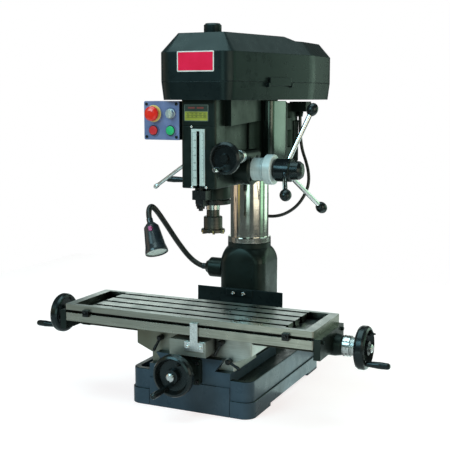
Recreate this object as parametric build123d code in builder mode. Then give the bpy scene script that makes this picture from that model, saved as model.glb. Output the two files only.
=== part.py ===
from build123d import *
import math
import os

# Bench mill drill on a round column. Millimetres, +Z up, +X to the operator's right, +Y to the back.
# The origin is the middle of the four holding-down holes, on the surface that the base stands on.

os.makedirs("parts", exist_ok=True)

# Clearances
MOVE_GAP = 0.4          # between pieces that slide or swing past each other
SHAFT_FIT = 0.06        # radial clearance of a turning shaft in its bearing
HOLE_GAP = 0.3          # around a rod, tube or screw that passes through a hole

# Base casting
BASE_WIDTH = 360.0
BASE_DEPTH = 536.0
BASE_CORNER = 28.0
BASE_LIP = 4.0          # the lower band stands this far outside the wall above it
BASE_LIP_HEIGHT = 45.0
BASE_RIM_Z = 100.0
BASE_WALL = 16.0
BASE_DECK = 14.0
TRAY_DEPTH = 12.0       # chip tray round the pedestal
FOOT_FRONT = 130.0      # lengths of the front and rear feet, with a notch between them
FOOT_REAR = 107.0
FOOT_NOTCH = 8.0
BOLT_SPACING_X = 290.0
BOLT_SPACING_Y = 450.0
BOLT_HOLE_DIA = 14.0
BOLT_BOSS_DIA = 44.0
PEDESTAL_WIDTH = 242.0
PEDESTAL_PANEL_Z = 79.5
PEDESTAL_PANEL_STEP = 3.0
GROOVE = 2.0
WAY_Z = 119.0
DOVETAIL_WIDTH = 200.0
DOVETAIL_HEIGHT = 33.0
DOVETAIL_ANGLE = 55.0
SCREW_SLOT_WIDTH = 52.0
SCREW_SLOT_FLOOR_Z = 100.0

# Column and its support
COLUMN_Y = 137.0
COLUMN_DIA = 115.0
COLUMN_WALL = 10.0
COLUMN_BOTTOM_Z = 190.0
COLUMN_TOP_Z = 760.0
SUPPORT_WIDTH = 145.0
SUPPORT_CORNER = 30.0
SUPPORT_FLANGE_WIDTH = 190.0
SUPPORT_FLANGE_DEPTH = 158.0
SUPPORT_FLANGE_THICK = 22.0
SUPPORT_SHOULDER_Z = 350.0
SUPPORT_NECK_Z = 392.0
SUPPORT_TOP_Z = 406.0
RING_DIA = 130.0
RING_HEIGHT = 18.0
SUPPORT_BOLT_DIA = 12.0
SUPPORT_BOLT_X = 166.0  # spacing of the four support bolts
SUPPORT_BOLT_Y = 128.0

# Sheet guard behind the table
WAY_GUARD_WIDTH = 276.0
WAY_GUARD_TOP_Z = 272.0
WAY_GUARD_BEND_Z = 240.0
WAY_GUARD_LOW_Z = 158.0
WAY_GUARD_THICK = 2.5
WAY_GUARD_LEAN = 7.0
STRIP_SCREW_X = 16.5

# Small screws
SMALL_SCREW_DIA = 6.0
SMALL_SCREW_GRIP = 12.0  # how far they reach into the piece that they hold to

# Saddle
SADDLE_WIDTH = 346.0
SADDLE_DEPTH = 150.0
SADDLE_FRONT_Y = -248.0
SADDLE_HEIGHT = 102.6
SADDLE_FOOT_WIDTH = 250.0
SADDLE_FOOT_HEIGHT = 26.0
SADDLE_SLOPE_HEIGHT = 20.0
GIB_THICK = 8.0
NUT_LENGTH = 50.0
NUT_WALL = 9.0
LOCK_LEFT_X = 93.0
LOCK_LEFT_DROP = 32.0   # saddle top to the left table lock
LOCK_RIGHT_X = 91.0
LOCK_RIGHT_DROP = 25.0
LOCK_CROSS_X = 112.0
LOCK_CROSS_RISE = 28.0
LOCK_HUB_DIA = 15.0
LOCK_HUB_LENGTH = 20.0
LOCK_ROD_DIA = 7.0
LOCK_STUD_DIA = 9.0
LOCK_LENGTH = 30.0
LOCK_LEFT_ANGLE = -114.0  # where each lever points, from the operator's right
LOCK_RIGHT_ANGLE = -115.0
LOCK_CROSS_ANGLE = -20.0
BOSS_X = 17.0           # centre of the stop boss on the saddle's front
BOSS_WIDTH = 106.0
BOSS_HEIGHT = 42.0
BOSS_DROP = 14.0
STOP_X = 39.0
STOP_WIDTH = 54.0
STOP_FOOT = 24.0
STOP_DROP = 2.0
STOP_THICK = 7.0
STOP_SCREW_X = 18.0
TONGUE_WIDTH = 22.0

# Table
TABLE_LENGTH = 730.0
TABLE_WIDTH = 210.0
TABLE_THICK = 47.0
TABLE_Y = -206.5        # middle of the table's width
TABLE_WAY_Y = -186.0    # middle of its dovetail, and of the long leadscrew
TABLE_DOVETAIL_WIDTH = 96.0
TABLE_DOVETAIL_DEPTH = 28.0
TABLE_CHANNEL_WIDTH = 30.0
TSLOT_COUNT = 4
TSLOT_PITCH = 50.0
TSLOT_NECK = 14.0
TSLOT_NECK_DEPTH = 11.0
TSLOT_HEAD = 23.0
TSLOT_HEAD_DEPTH = 8.0
TROUGH_LENGTH = 55.0
TABLE_END_RIM = 25.0
TABLE_SIDE_RIM = 14.0
STOP_GROOVE_HEIGHT = 8.0
STOP_GROOVE_DEPTH = 9.0
STOP_GROOVE_DROP = 20.0  # table top to the middle of the groove in its front face
DOG_X = 294.0
DOG_THICK = 9.0

# Leadscrews, dials and handwheels
SCREW_DIA = 20.0
X_SCREW_DROP = 61.0     # table top to the long leadscrew
Y_SCREW_Z = 123.0
BRACKET_THICK = 18.0
BRACKET_WIDTH = 188.0
BRACKET_HEIGHT = 54.0
BRACKET_DROP = 19.0
BRACKET_BOSS_DIA = 58.0
BRACKET_BOSS_LENGTH = 22.0
DIAL_DIA = 54.0
DIAL_LENGTH = 19.0
COLLAR_LENGTH = 13.0
SPACER_DIA = 36.0
SPACER_LENGTH = 6.0
WHEEL_DIA = 113.0
WHEEL_RIM = 28.0
WHEEL_HUB_DIA = 36.0
GRIP_PIN_DIA = 8.0
GRIP_RADIUS = 43.0      # from the wheel's axis to its crank grip
GRIP_LENGTH = 62.0
GRIP_DIA = 18.0
HUB_NUT_DIA = 22.0
HUB_NUT_LENGTH = 10.0
Y_BRACKET_WIDTH = 80.0
Y_BRACKET_THICK = 14.0

# Head casting
THROAT = 255.0          # column axis to spindle axis
HEAD_BOTTOM_Z = 597.0
HEAD_HEIGHT = 235.0
HEAD_WIDTH = 102.0
HEAD_FRONT_REACH = 90.0  # spindle axis to the head's front face
COLLAR_DIA = 166.0
COLLAR_CAP = 16.0
CHIN_DIA = 100.0
CHIN_HEIGHT = 37.0
HEAD_EDGE = 7.0
PANEL_RECESS = 5.0
PANEL_LEVELS = ((93.0, 171.0), (188.0, 223.0))  # above the head's bottom
PANEL_AHEAD = 32.0      # how far the side panels reach before and behind the spindle
PANEL_BEHIND = 130.0
SHOULDER_OUT = 19.0     # the shoulder on the head's right side: how far it stands out
SHOULDER_AHEAD = 33.0   # before and behind the spindle
SHOULDER_BEHIND = 172.0
SHOULDER_DROPS = (69.0, 59.0)  # from the head's top to its lower edge, front and back
LIFT_RISE = 75.0        # lifting crank above the head's bottom
LIFT_BACK = 13.0
LIFT_REACH = 140.0
LIFT_SHAFT_DIA = 18.0
LIFT_CRANK = 103.0
LIFT_GRIP = 64.0
QUILL_LOCK_BACK = 5.0
QUILL_LOCK_RISE = 70.0
QUILL_LEVER = 133.0
LOCK_SCREW_DIA = 12.0
FRONT_STEP_DROP = 68.0  # head top to the line across its front
STOP_SLOT_WIDTH = 18.0
STOP_SLOT_DEPTH = 28.0
STOP_SLOT_TOP_DROP = 75.0
STOP_ROD_DIA = 12.0
STOP_CLAMP_WALL = 9.0   # of the ring that clamps the depth stop on the quill
STOP_ARM_WIDTH = 22.0
STOP_BLOCK_WIDTH = 40.0
STOP_BLOCK_HEIGHT = 25.0
STOP_KNOB_DIA = 22.0
SCALE_WIDTH = 40.0
SCALE_SLOT_WIDTH = 9.0
RACK_ANGLE = 150.0      # where the lifting rack stands round the column
RACK_WIDTH = 16.0
RACK_THICK = 13.0
RACK_MODULE = 2.0
TOOTH_SHARE = 0.33      # tooth thickness over the pitch, thin enough to run free

# Quill, spindle and cutter
QUILL_DIA = 80.0
QUILL_NOSE = 13.0       # how far the quill shows below the head
QUILL_LENGTH = 253.0
QUILL_RACK_WIDTH = 14.0
SPINDLE_DIA = 38.0
SPINDLE_NOSE = 17.0
SPLINE_DIA = 28.0
SPLINE_RISE = 133.0     # top of the splined tail above the head
DRAWBAR_DIA = 14.0
MILL_NECK_DIA = 36.0
MILL_NECK_LENGTH = 17.0
MILL_BODY_DIA = 52.0
MILL_BODY_LENGTH = 36.0
MILL_FACE_DIA = 66.0
MILL_FACE_LENGTH = 11.0
INSERT_COUNT = 6

# Downfeed capstan and fine feed
CAPSTAN_RISE = 46.0     # capstan axis above the head's bottom
PINION_TEETH = 15
PINION_WIDTH = 12.0
CAPSTAN_TAIL_DIA = 18.0
CAPSTAN_SHAFT_DIA = 22.0
GEARBOX_DIA = 88.0
GEARBOX_LENGTH = 49.0
FEED_DIAL_DIA = 63.0
FEED_DIAL_LENGTH = 37.0
FEED_COLLAR_DIA = 83.0
FEED_COLLAR_LENGTH = 24.0
HUB_DIA = 64.0
HUB_LENGTH = 48.0
HUB_CAP_DIA = 54.0
HUB_CAP_LENGTH = 34.0
SPOKE_COUNT = 3
SPOKE_START_ANGLE = 77.5
SPOKE_RADIUS = 167.0
SPOKE_LEAN = 59.0       # how far a spoke leans outwards between hub and knob
SPOKE_DIA = 13.0
KNOB_DIA = 31.0
KNOB_LENGTH = 37.0      # along the spoke
FINE_SHAFT_DIA = 14.0
FINE_SHAFT_LENGTH = 120.0
FINE_TUBE_DIA = 32.0
FINE_DIAL_LENGTH = 7.0
FINE_WHEEL_DIA = 86.0
FINE_WHEEL_THICK = 17.0
FINE_HANDLE_OUT = -13.0  # crank handle from the wheel's axis, sideways
FINE_HANDLE_RISE = -28.0
FINE_RISE = 38.0        # fine-feed shaft above the capstan axis
FINE_FROM_HEAD = 33.0   # fine-feed shaft out from the head's side

# Belt guard and drive
GUARD_FRONT_Y = -237.0
GUARD_FRONT_WIDTH = 202.0
GUARD_WIDTH = 400.0
GUARD_FLARE_Y = 130.0   # where the flaring sides turn parallel
GUARD_REAR_SIDE_Y = 290.0
GUARD_REAR_WIDTH = 252.0
GUARD_REAR_Y = 412.0
GUARD_RADII = [40.0, 150.0, 70.0, 60.0]
GUARD_WALL = 3.0
GUARD_PAN_HEIGHT = 48.0
GUARD_PAN_DRAFT = 6.0
GUARD_WALL_HEIGHT = 77.0
GUARD_BEVEL_HEIGHT = 51.0
GUARD_BEVEL = 44.0
GUARD_STEP_START_Y = 62.0
GUARD_STEP_END_Y = 100.0
GUARD_STEP = 11.0
HINGE_OUT = 7.0         # hinge axis outside the guard's left side
KNUCKLE = 40.0
KNUCKLE_DIA = 12.0
LATCH_PLACE = 0.57      # along the flaring side, from its front corner
LATCH_LENGTH = 96.0
CAP_DIA = 48.0
CAP_HEIGHT = 28.0
MOTOR_Y = 320.0
MOTOR_DIA = 156.0
MOTOR_HEIGHT = 232.0
MOTOR_PLATE_WIDTH = 164.0
MOTOR_PLATE_THICK = 12.0
MOTOR_SHAFT_DIA = 24.0
MOTOR_SHAFT_REACH = 58.0  # from the motor's top down into it
TERMINAL_BOX = 40.0
MOTOR_FOOT_X = 62.0
PLATE_BOLT_DIA = 10.0
IDLER_Y = 100.0
PULLEY_STEP_COUNT = 4
PULLEY_RADIUS = 80.0    # of the largest step
PULLEY_STEP_DROP = 12.0  # from one step's radius to the next
PULLEY_STEP_HEIGHT = 18.0
PULLEY_RISE = 14.0      # lowest pulley step above the head's top
IDLER_PIN_DIA = 16.0
IDLER_HUB_DIA = 40.0
BELT_DEPTH = 8.0

# Control box
BOX_WIDTH = 107.0
BOX_HEIGHT = 104.0
BOX_DEPTH = 70.0
BOX_WALL = 2.5
BOX_GAP_TO_HEAD = 7.0
BUTTON_ROW_UP = 18.5    # button rows above and below the panel's middle
BUTTON_ROW_DOWN = 26.5
BUTTON_COLUMN = 26.0
ESTOP_DIA = 40.0
BUTTON_DIA = 24.0
STEM_DIA = 16.0
PANEL_THICK = 3.0

# Work lamp
LAMP_MOUNT_DIA = 60.0
LAMP_MOUNT_LENGTH = 57.0
LAMP_MOUNT_Y = 112.0
LAMP_MOUNT_Z = 322.0
GOOSENECK_DIA = 17.0
LAMP_LENGTH = 92.0
LAMP_DIA = 68.0
LAMP_TOP_DIA = 46.0
LAMP_BALL_DIA = 21.0
LAMP_AIM = (0.394, -0.315, -0.863)
SWITCH_SIDE = (0.35, -0.93, 0.1)
SWITCH_ALONG = 22.0
GOOSENECK_ROUTE = [      # points of the gooseneck, from the end of its mount
    (-24.0, 0.0, 0.0),
    (-56.5, -9.0, 23.0),
    (-86.5, -32.0, 74.0),
    (-110.5, -57.0, 128.0),
    (-125.5, -84.0, 170.0),
    (-129.5, -104.0, 188.0),
    (-129.5, -122.0, 193.5),
    (-126.5, -139.0, 186.0),
    (-120.5, -151.0, 168.0),
    (-109.5, -159.0, 145.5),
]

# Motor cable
CABLE_DIA = 10.0
CABLE_TAIL = 34.0       # straight run out of each gland
GLAND_DIA = 20.0
GLAND_LENGTH = 16.0
CABLE_ROUTE = [          # points of the cable, from the column axis and the head's bottom
    (89.5, 198.0, 105.0),
    (97.0, 196.0, 72.0),
    (110.0, 192.0, 43.0),
    (122.0, 185.0, 8.0),
    (126.0, 175.0, -27.0),
    (118.0, 165.0, -59.0),
    (99.0, 155.0, -92.0),
    (72.0, 145.0, -115.0),
    (42.0, 135.0, -128.0),
    (5.0, 124.0, -130.0),
    (-32.0, 110.0, -116.0),
    (-67.0, 91.0, -91.0),
    (-95.0, 63.0, -57.0),
    (-115.0, 27.0, -20.0),
    (-126.0, -15.0, 14.0),
    (-128.0, -59.0, 48.0),
    (-125.0, -103.0, 86.0),
    (-120.0, -147.0, 122.0),
    (-115.0, -190.0, 151.0),
]


def turn(plane, stations, mode=Mode.ADD):
    """Turn a round form about the plane's Z axis. A station is (distance along the axis, radius)."""
    side = Plane(origin=plane.origin, x_dir=plane.z_dir, z_dir=plane.y_dir)
    with BuildSketch(side) as profile:
        with BuildLine():
            Polyline((stations[0][0], 0), *stations, (stations[-1][0], 0), close=True)
        make_face()
    revolve(profile.sketch, axis=Axis(plane.origin, plane.z_dir), mode=mode)


def egg(middle, toward, length, width):
    """Turn half an ellipse about its long axis, which runs through middle in the direction toward."""
    across = Plane(origin=middle, z_dir=toward)
    side = Plane(origin=middle, x_dir=across.z_dir, z_dir=across.y_dir)
    with BuildSketch(side) as profile:
        with BuildLine():
            Line((-length / 2, 0), (length / 2, 0))
            EllipticalCenterArc((0, 0), length / 2, width / 2, start_angle=0, arc_size=180)
        make_face()
    revolve(profile.sketch, axis=Axis(middle, across.z_dir))


def lathe(plane, corners, mode=Mode.ADD):
    """Turn a closed outline of (distance, radius) corners that stays clear of the axis."""
    side = Plane(origin=plane.origin, x_dir=plane.z_dir, z_dir=plane.y_dir)
    with BuildSketch(side) as profile:
        with BuildLine():
            Polyline(*corners, close=True)
        make_face()
    revolve(profile.sketch, axis=Axis(plane.origin, plane.z_dir), mode=mode)


def rod(start, end, dia, mode=Mode.ADD):
    """A plain round rod between two points."""
    run = Vector(end) - Vector(start)
    turn(Plane(origin=start, z_dir=run), [(0, dia / 2), (run.length, dia / 2)], mode)


def ring(plane, low, high, outer_dia, inner_dia):
    """A plain ring along the plane's Z axis."""
    turn(plane, [(low, outer_dia / 2), (high, outer_dia / 2)])
    turn(plane, [(low, inner_dia / 2), (high, inner_dia / 2)], Mode.SUBTRACT)


def block(x, y, z, mode=Mode.ADD):
    """A box that spans two X, two Y and two Z values."""
    with Locations(((x[0] + x[1]) / 2, (y[0] + y[1]) / 2, (z[0] + z[1]) / 2)):
        Box(x[1] - x[0], y[1] - y[0], z[1] - z[0], mode=mode)


def prism(plane, points, amount, mode=Mode.ADD):
    """Push a straight-sided outline along the plane's Z axis."""
    with BuildSketch(plane) as outline:
        with BuildLine():
            Polyline(*points, close=True)
        make_face()
    extrude(outline.sketch, amount=amount, mode=mode)


def along(plane, x, y, z=0):
    """The same plane moved by local distances."""
    return Plane(origin=plane.from_local_coords((x, y, z)), x_dir=plane.x_dir, z_dir=plane.z_dir)


def hex_bolt(plane, across, head, shank_dia, shank):
    """A hexagon bolt: the head stands on the plane and the shank goes down from it."""
    with BuildSketch(plane) as hexagon:
        RegularPolygon(across / 2, 6, major_radius=False)
    extrude(hexagon.sketch, amount=head)
    turn(plane, [(-shank, shank_dia / 2), (0, shank_dia / 2)])


def cap_screw(plane, dia, head, shank_dia, shank):
    """A socket screw: round head with a hexagon socket, on the plane, and a shank below it."""
    turn(plane, [(0, dia / 2), (head * 0.8, dia / 2), (head, dia * 0.42)])
    with BuildSketch(along(plane, 0, 0, head)) as socket:
        RegularPolygon(dia * 0.25, 6, major_radius=False)
    extrude(socket.sketch, amount=-head * 0.5, mode=Mode.SUBTRACT)
    turn(plane, [(-shank, shank_dia / 2), (0, shank_dia / 2)])


def tooth_outline(root, tip, pitch_thick, pressure=20.0):
    """Half widths of a straight tooth at its root and tip, from its thickness at the pitch line."""
    slope = math.tan(math.radians(pressure))
    return pitch_thick / 2 + root * slope, pitch_thick / 2 - tip * slope


def save(piece, name):
    """Label one finished piece and write it as its own file."""
    piece.part.label = name
    export_step(piece.part, f"parts/{name}.step")


# Levels and positions worked out from the sizes above
base_front_y = -BASE_DEPTH / 2
base_face_y = base_front_y - BASE_LIP
deck_z = BASE_RIM_Z - TRAY_DEPTH
hollow_z = deck_z - BASE_DECK
support_front_y = COLUMN_Y - SUPPORT_WIDTH / 2
pad_front_y = COLUMN_Y - SUPPORT_FLANGE_DEPTH / 2
dovetail_z = WAY_Z + DOVETAIL_HEIGHT
dovetail_run = 1 / math.tan(math.radians(DOVETAIL_ANGLE))
side_gap = MOVE_GAP / math.sin(math.radians(DOVETAIL_ANGLE))
saddle_low_z = WAY_Z + MOVE_GAP
saddle_top_z = saddle_low_z + SADDLE_HEIGHT
saddle_back_y = SADDLE_FRONT_Y + SADDLE_DEPTH
saddle_mid_y = SADDLE_FRONT_Y + SADDLE_DEPTH / 2
table_low_z = saddle_top_z + MOVE_GAP
table_top_z = table_low_z + TABLE_THICK
table_front_y = TABLE_Y - TABLE_WIDTH / 2
table_back_y = TABLE_Y + TABLE_WIDTH / 2
table_end_x = TABLE_LENGTH / 2
x_screw_z = table_top_z - X_SCREW_DROP
x_way_low_z = table_low_z - TABLE_DOVETAIL_DEPTH
spindle_y = COLUMN_Y - THROAT
head_top_z = HEAD_BOTTOM_Z + HEAD_HEIGHT
head_front_y = spindle_y - HEAD_FRONT_REACH
head_side_x = HEAD_WIDTH / 2
chin_z = HEAD_BOTTOM_Z - CHIN_HEIGHT
quill_low_z = chin_z - QUILL_NOSE
quill_top_z = quill_low_z + QUILL_LENGTH
spindle_low_z = quill_low_z - SPINDLE_NOSE
pinion_radius = RACK_MODULE * PINION_TEETH / 2
capstan_y = spindle_y + QUILL_DIA / 2 + pinion_radius
capstan_z = HEAD_BOTTOM_Z + CAPSTAN_RISE
pan_top_z = head_top_z + GUARD_PAN_HEIGHT
bevel_z = pan_top_z + GUARD_WALL_HEIGHT
guard_top_z = bevel_z + GUARD_BEVEL_HEIGHT
ring_top_z = SUPPORT_TOP_Z + RING_HEIGHT
spindle_axis = Plane(origin=(0, spindle_y, 0))
column_axis = Plane(origin=(0, COLUMN_Y, 0))
capstan_axis = Plane(origin=(0, capstan_y, capstan_z), x_dir=(0, 1, 0), z_dir=(1, 0, 0))
rack_pitch = math.pi * RACK_MODULE
rack_root = 1.25 * RACK_MODULE
tooth_root, tooth_tip = tooth_outline(rack_root, RACK_MODULE, rack_pitch * TOOTH_SHARE)


def front_plane(y):
    """A plane that faces the operator, with X to the right and Z up."""
    return Plane(origin=(0, y, 0), x_dir=(1, 0, 0), z_dir=(0, -1, 0))


def side_plane(x, y, z, side):
    """A plane that faces sideways, side 1 to the right and side -1 to the left."""
    return Plane(origin=(x, y, z), x_dir=(0, 1, 0), z_dir=(side, 0, 0))


def way_half(z):
    """Half width of the base's dovetail at a level."""
    return DOVETAIL_WIDTH / 2 - (dovetail_z - z) * dovetail_run


def table_way_half(z):
    """Half width of the table's dovetail at a level."""
    return TABLE_DOVETAIL_WIDTH / 2 - (z - x_way_low_z) * dovetail_run


def pierce(plane, depth, dia):
    """A plain hole that goes down from a plane."""
    turn(plane, [(-depth, dia / 2), (0, dia / 2)], Mode.SUBTRACT)


# Places of the screws and levers that several pieces share
upper_face_y = base_face_y + PEDESTAL_PANEL_STEP
y_bracket_low_z = PEDESTAL_PANEL_Z + MOVE_GAP
y_bracket_high_z = dovetail_z - 2
y_bracket_front_y = upper_face_y - Y_BRACKET_THICK
y_screw_places = [
    (side * (Y_BRACKET_WIDTH / 2 - 8), z)
    for side in (-1, 1)
    for z in (y_bracket_low_z + 9, y_bracket_high_z - 9)
]
guard_front_y = support_front_y - WAY_GUARD_THICK
strip_y = guard_front_y - WAY_GUARD_THICK
strip_places = [(side * STRIP_SCREW_X, WAY_GUARD_TOP_Z - 12) for side in (-1, 1)]
support_bolts = [
    (x * SUPPORT_BOLT_X / 2, COLUMN_Y + y * SUPPORT_BOLT_Y / 2) for x in (-1, 1) for y in (-1, 1)
]
lock_left = (-LOCK_LEFT_X, saddle_top_z - LOCK_LEFT_DROP)
lock_right = (LOCK_RIGHT_X, saddle_top_z - LOCK_RIGHT_DROP)
lock_cross = (LOCK_CROSS_X, saddle_low_z + LOCK_CROSS_RISE)
bracket_places = [(table_front_y + 18, table_top_z - 30), (table_front_y + 172, table_top_z - 30)]
small_hole = SMALL_SCREW_DIA + 2 * HOLE_GAP

# Base casting: hollow below, with a chip tray, the cross way and the pad for the column support
with BuildPart() as base_casting:
    with BuildSketch():
        RectangleRounded(BASE_WIDTH + 2 * BASE_LIP, BASE_DEPTH + 2 * BASE_LIP, BASE_CORNER + BASE_LIP)
    extrude(amount=BASE_LIP_HEIGHT)
    fillet(base_casting.edges().group_by(Axis.Z)[-1], BASE_LIP * 0.6)
    with BuildSketch():
        RectangleRounded(BASE_WIDTH, BASE_DEPTH, BASE_CORNER)
    extrude(amount=BASE_RIM_Z)
    fillet(base_casting.edges().group_by(Axis.Z)[-1], 3)
    with BuildSketch(Plane.XY.offset(deck_z)):
        RectangleRounded(BASE_WIDTH - 2 * BASE_WALL, BASE_DEPTH - 2 * BASE_WALL, BASE_CORNER / 2)
    extrude(amount=TRAY_DEPTH, mode=Mode.SUBTRACT)
    with BuildSketch():
        RectangleRounded(BASE_WIDTH - 2 * BASE_WALL, BASE_DEPTH - 2 * BASE_WALL, BASE_CORNER / 2)
    extrude(amount=hollow_z, mode=Mode.SUBTRACT)
    half_pedestal = PEDESTAL_WIDTH / 2
    pedestal_x = (-half_pedestal, half_pedestal)
    block(pedestal_x, (base_face_y, base_front_y + BASE_WALL), (0, PEDESTAL_PANEL_Z))
    block(pedestal_x, (upper_face_y, pad_front_y), (hollow_z, WAY_Z))
    prism(
        Plane.XZ.offset(-pad_front_y),
        [
            (-way_half(WAY_Z), WAY_Z),
            (way_half(WAY_Z), WAY_Z),
            (way_half(dovetail_z), dovetail_z),
            (-way_half(dovetail_z), dovetail_z),
        ],
        pad_front_y - upper_face_y,
    )
    half_flange = SUPPORT_FLANGE_WIDTH / 2
    block(
        (-half_flange, half_flange),
        (pad_front_y, pad_front_y + SUPPORT_FLANGE_DEPTH),
        (hollow_z, BASE_RIM_Z),
    )
    block(
        (-SCREW_SLOT_WIDTH / 2, SCREW_SLOT_WIDTH / 2),
        (base_face_y, pad_front_y - BASE_WALL),
        (SCREW_SLOT_FLOOR_Z, dovetail_z),
        Mode.SUBTRACT,
    )
    for side in (-1, 1):
        block(
            (side * half_pedestal - GROOVE / 2, side * half_pedestal + GROOVE / 2),
            (base_face_y, base_face_y + GROOVE),
            (0, PEDESTAL_PANEL_Z),
            Mode.SUBTRACT,
        )
    for x in (-BOLT_SPACING_X / 2, BOLT_SPACING_X / 2):
        for y in (-BOLT_SPACING_Y / 2, BOLT_SPACING_Y / 2):
            rod((x, y, 0), (x, y, deck_z), BOLT_BOSS_DIA)
            rod((x, y, 0), (x, y, deck_z), BOLT_HOLE_DIA, Mode.SUBTRACT)
    for x, y in support_bolts:
        pierce(Plane(origin=(x, y, BASE_RIM_Z)), BASE_RIM_Z - hollow_z, SUPPORT_BOLT_DIA + 2 * HOLE_GAP)
    for x, z in y_screw_places:
        pierce(along(front_plane(upper_face_y), x, z), SMALL_SCREW_GRIP + 1, small_hole)
    block(
        (-BASE_WIDTH, BASE_WIDTH),
        (base_front_y + FOOT_FRONT, -base_front_y - FOOT_REAR),
        (0, FOOT_NOTCH),
        Mode.SUBTRACT,
    )
save(base_casting, "base_casting")


def support_level(z, width, corner):
    """One level of the column support: a square with round corners."""
    with BuildSketch(Plane.XY.offset(z)) as level:
        with Locations((0, COLUMN_Y)):
            RectangleRounded(width, width, corner)
    return level.sketch


# Column support: a square body that closes in to a round neck
shoulder_rise = SUPPORT_NECK_Z - SUPPORT_SHOULDER_Z
shoulder_close = SUPPORT_WIDTH - RING_DIA
neck_corner = RING_DIA / 2 - 0.5
with BuildPart() as column_support:
    with BuildSketch(Plane.XY.offset(BASE_RIM_Z)):
        with Locations((0, COLUMN_Y)):
            RectangleRounded(SUPPORT_FLANGE_WIDTH, SUPPORT_FLANGE_DEPTH, SUPPORT_CORNER / 2)
    extrude(amount=SUPPORT_FLANGE_THICK)
    fillet(column_support.edges().group_by(Axis.Z)[-1], 4)
    extrude(
        support_level(BASE_RIM_Z, SUPPORT_WIDTH, SUPPORT_CORNER),
        amount=SUPPORT_SHOULDER_Z - BASE_RIM_Z,
    )
    shoulder = []
    for rise, close in ((0, 0), (0.45, 0.2), (0.8, 0.6), (1, 1)):
        shoulder.append(
            support_level(
                SUPPORT_SHOULDER_Z + shoulder_rise * rise,
                SUPPORT_WIDTH - shoulder_close * close,
                SUPPORT_CORNER + (neck_corner - SUPPORT_CORNER) * (0.3 * rise + 0.7 * close),
            )
        )
    loft(shoulder)
    extrude(shoulder[-1], amount=SUPPORT_TOP_Z - SUPPORT_NECK_Z)
    turn(
        column_axis,
        [(COLUMN_BOTTOM_Z, COLUMN_DIA / 2), (SUPPORT_TOP_Z, COLUMN_DIA / 2)],
        Mode.SUBTRACT,
    )
    for x, y in support_bolts:
        pierce(
            Plane(origin=(x, y, BASE_RIM_Z + SUPPORT_FLANGE_THICK)),
            SUPPORT_FLANGE_THICK,
            SUPPORT_BOLT_DIA + 2 * HOLE_GAP,
        )
    for x, z in strip_places:
        pierce(along(front_plane(support_front_y), x, z), SMALL_SCREW_GRIP + 1, small_hole)
save(column_support, "column_support")

# Column tube and the ring round its foot
with BuildPart() as column:
    ring(column_axis, COLUMN_BOTTOM_Z, COLUMN_TOP_Z, COLUMN_DIA, COLUMN_DIA - 2 * COLUMN_WALL)
    chamfer(column.edges().group_by(Axis.Z)[-1], 2)
    ring_bore = COLUMN_DIA / 2 + SHAFT_FIT
    ring_radius = RING_DIA / 2
    lathe(
        column_axis,
        [
            (SUPPORT_TOP_Z, ring_bore),
            (SUPPORT_TOP_Z, ring_radius - 2),
            (SUPPORT_TOP_Z + 2, ring_radius),
            (ring_top_z - 2, ring_radius),
            (ring_top_z, ring_radius - 2),
            (ring_top_z, ring_bore),
        ],
    )
save(column, "column")

# Sheet guard behind the table, with its clamping strip
with BuildPart() as way_guard:
    prism(
        Plane.YZ.offset(-WAY_GUARD_WIDTH / 2),
        [
            (support_front_y, WAY_GUARD_TOP_Z),
            (support_front_y, WAY_GUARD_BEND_Z),
            (support_front_y - WAY_GUARD_LEAN, WAY_GUARD_LOW_Z),
            (guard_front_y - WAY_GUARD_LEAN, WAY_GUARD_LOW_Z),
            (guard_front_y, WAY_GUARD_BEND_Z),
            (guard_front_y, WAY_GUARD_TOP_Z),
        ],
        WAY_GUARD_WIDTH,
    )
    strip_half = SUPPORT_WIDTH / 2 - SUPPORT_CORNER
    block((-strip_half, strip_half), (strip_y, guard_front_y), (WAY_GUARD_TOP_Z - 22, WAY_GUARD_TOP_Z - 2))
    for x, z in strip_places:
        pierce(along(front_plane(strip_y), x, z), 2 * WAY_GUARD_THICK, small_hole)
save(way_guard, "way_guard")

# Front bearing bracket of the cross leadscrew
y_screw_axis = along(front_plane(0), 0, Y_SCREW_Z)
y_boss_face = -y_bracket_front_y + BRACKET_BOSS_LENGTH
bearing = SCREW_DIA / 2 + SHAFT_FIT
boss_radius = BRACKET_BOSS_DIA / 2
with BuildPart() as y_bracket:
    block(
        (-Y_BRACKET_WIDTH / 2, Y_BRACKET_WIDTH / 2),
        (y_bracket_front_y, upper_face_y),
        (y_bracket_low_z, y_bracket_high_z),
    )
    fillet(y_bracket.edges().filter_by(Axis.Y), 7)
    turn(
        y_screw_axis,
        [
            (-y_bracket_front_y - 2, boss_radius),
            (y_boss_face - 4, boss_radius - 3),
            (y_boss_face, boss_radius - 6),
        ],
    )
    turn(y_screw_axis, [(-upper_face_y, bearing), (y_boss_face, bearing)], Mode.SUBTRACT)
    for x, z in y_screw_places:
        pierce(along(front_plane(y_bracket_front_y), x, z), Y_BRACKET_THICK, small_hole)
save(y_bracket, "y_bracket")

# Screws and bolts that hold the base's own pieces
with BuildPart() as base_fasteners:
    for x, y in support_bolts:
        hex_bolt(
            Plane(origin=(x, y, BASE_RIM_Z + SUPPORT_FLANGE_THICK)),
            19,
            8,
            SUPPORT_BOLT_DIA,
            SUPPORT_FLANGE_THICK + 20,
        )
    for x, z in strip_places:
        strip_grip = 2 * WAY_GUARD_THICK + SMALL_SCREW_GRIP
        cap_screw(along(front_plane(strip_y), x, z), 10, 5, SMALL_SCREW_DIA, strip_grip)
    for x, z in y_screw_places:
        cap_screw(
            along(front_plane(y_bracket_front_y), x, z),
            10,
            6,
            SMALL_SCREW_DIA,
            Y_BRACKET_THICK + SMALL_SCREW_GRIP,
        )
save(base_fasteners, "base_fasteners")

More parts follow.
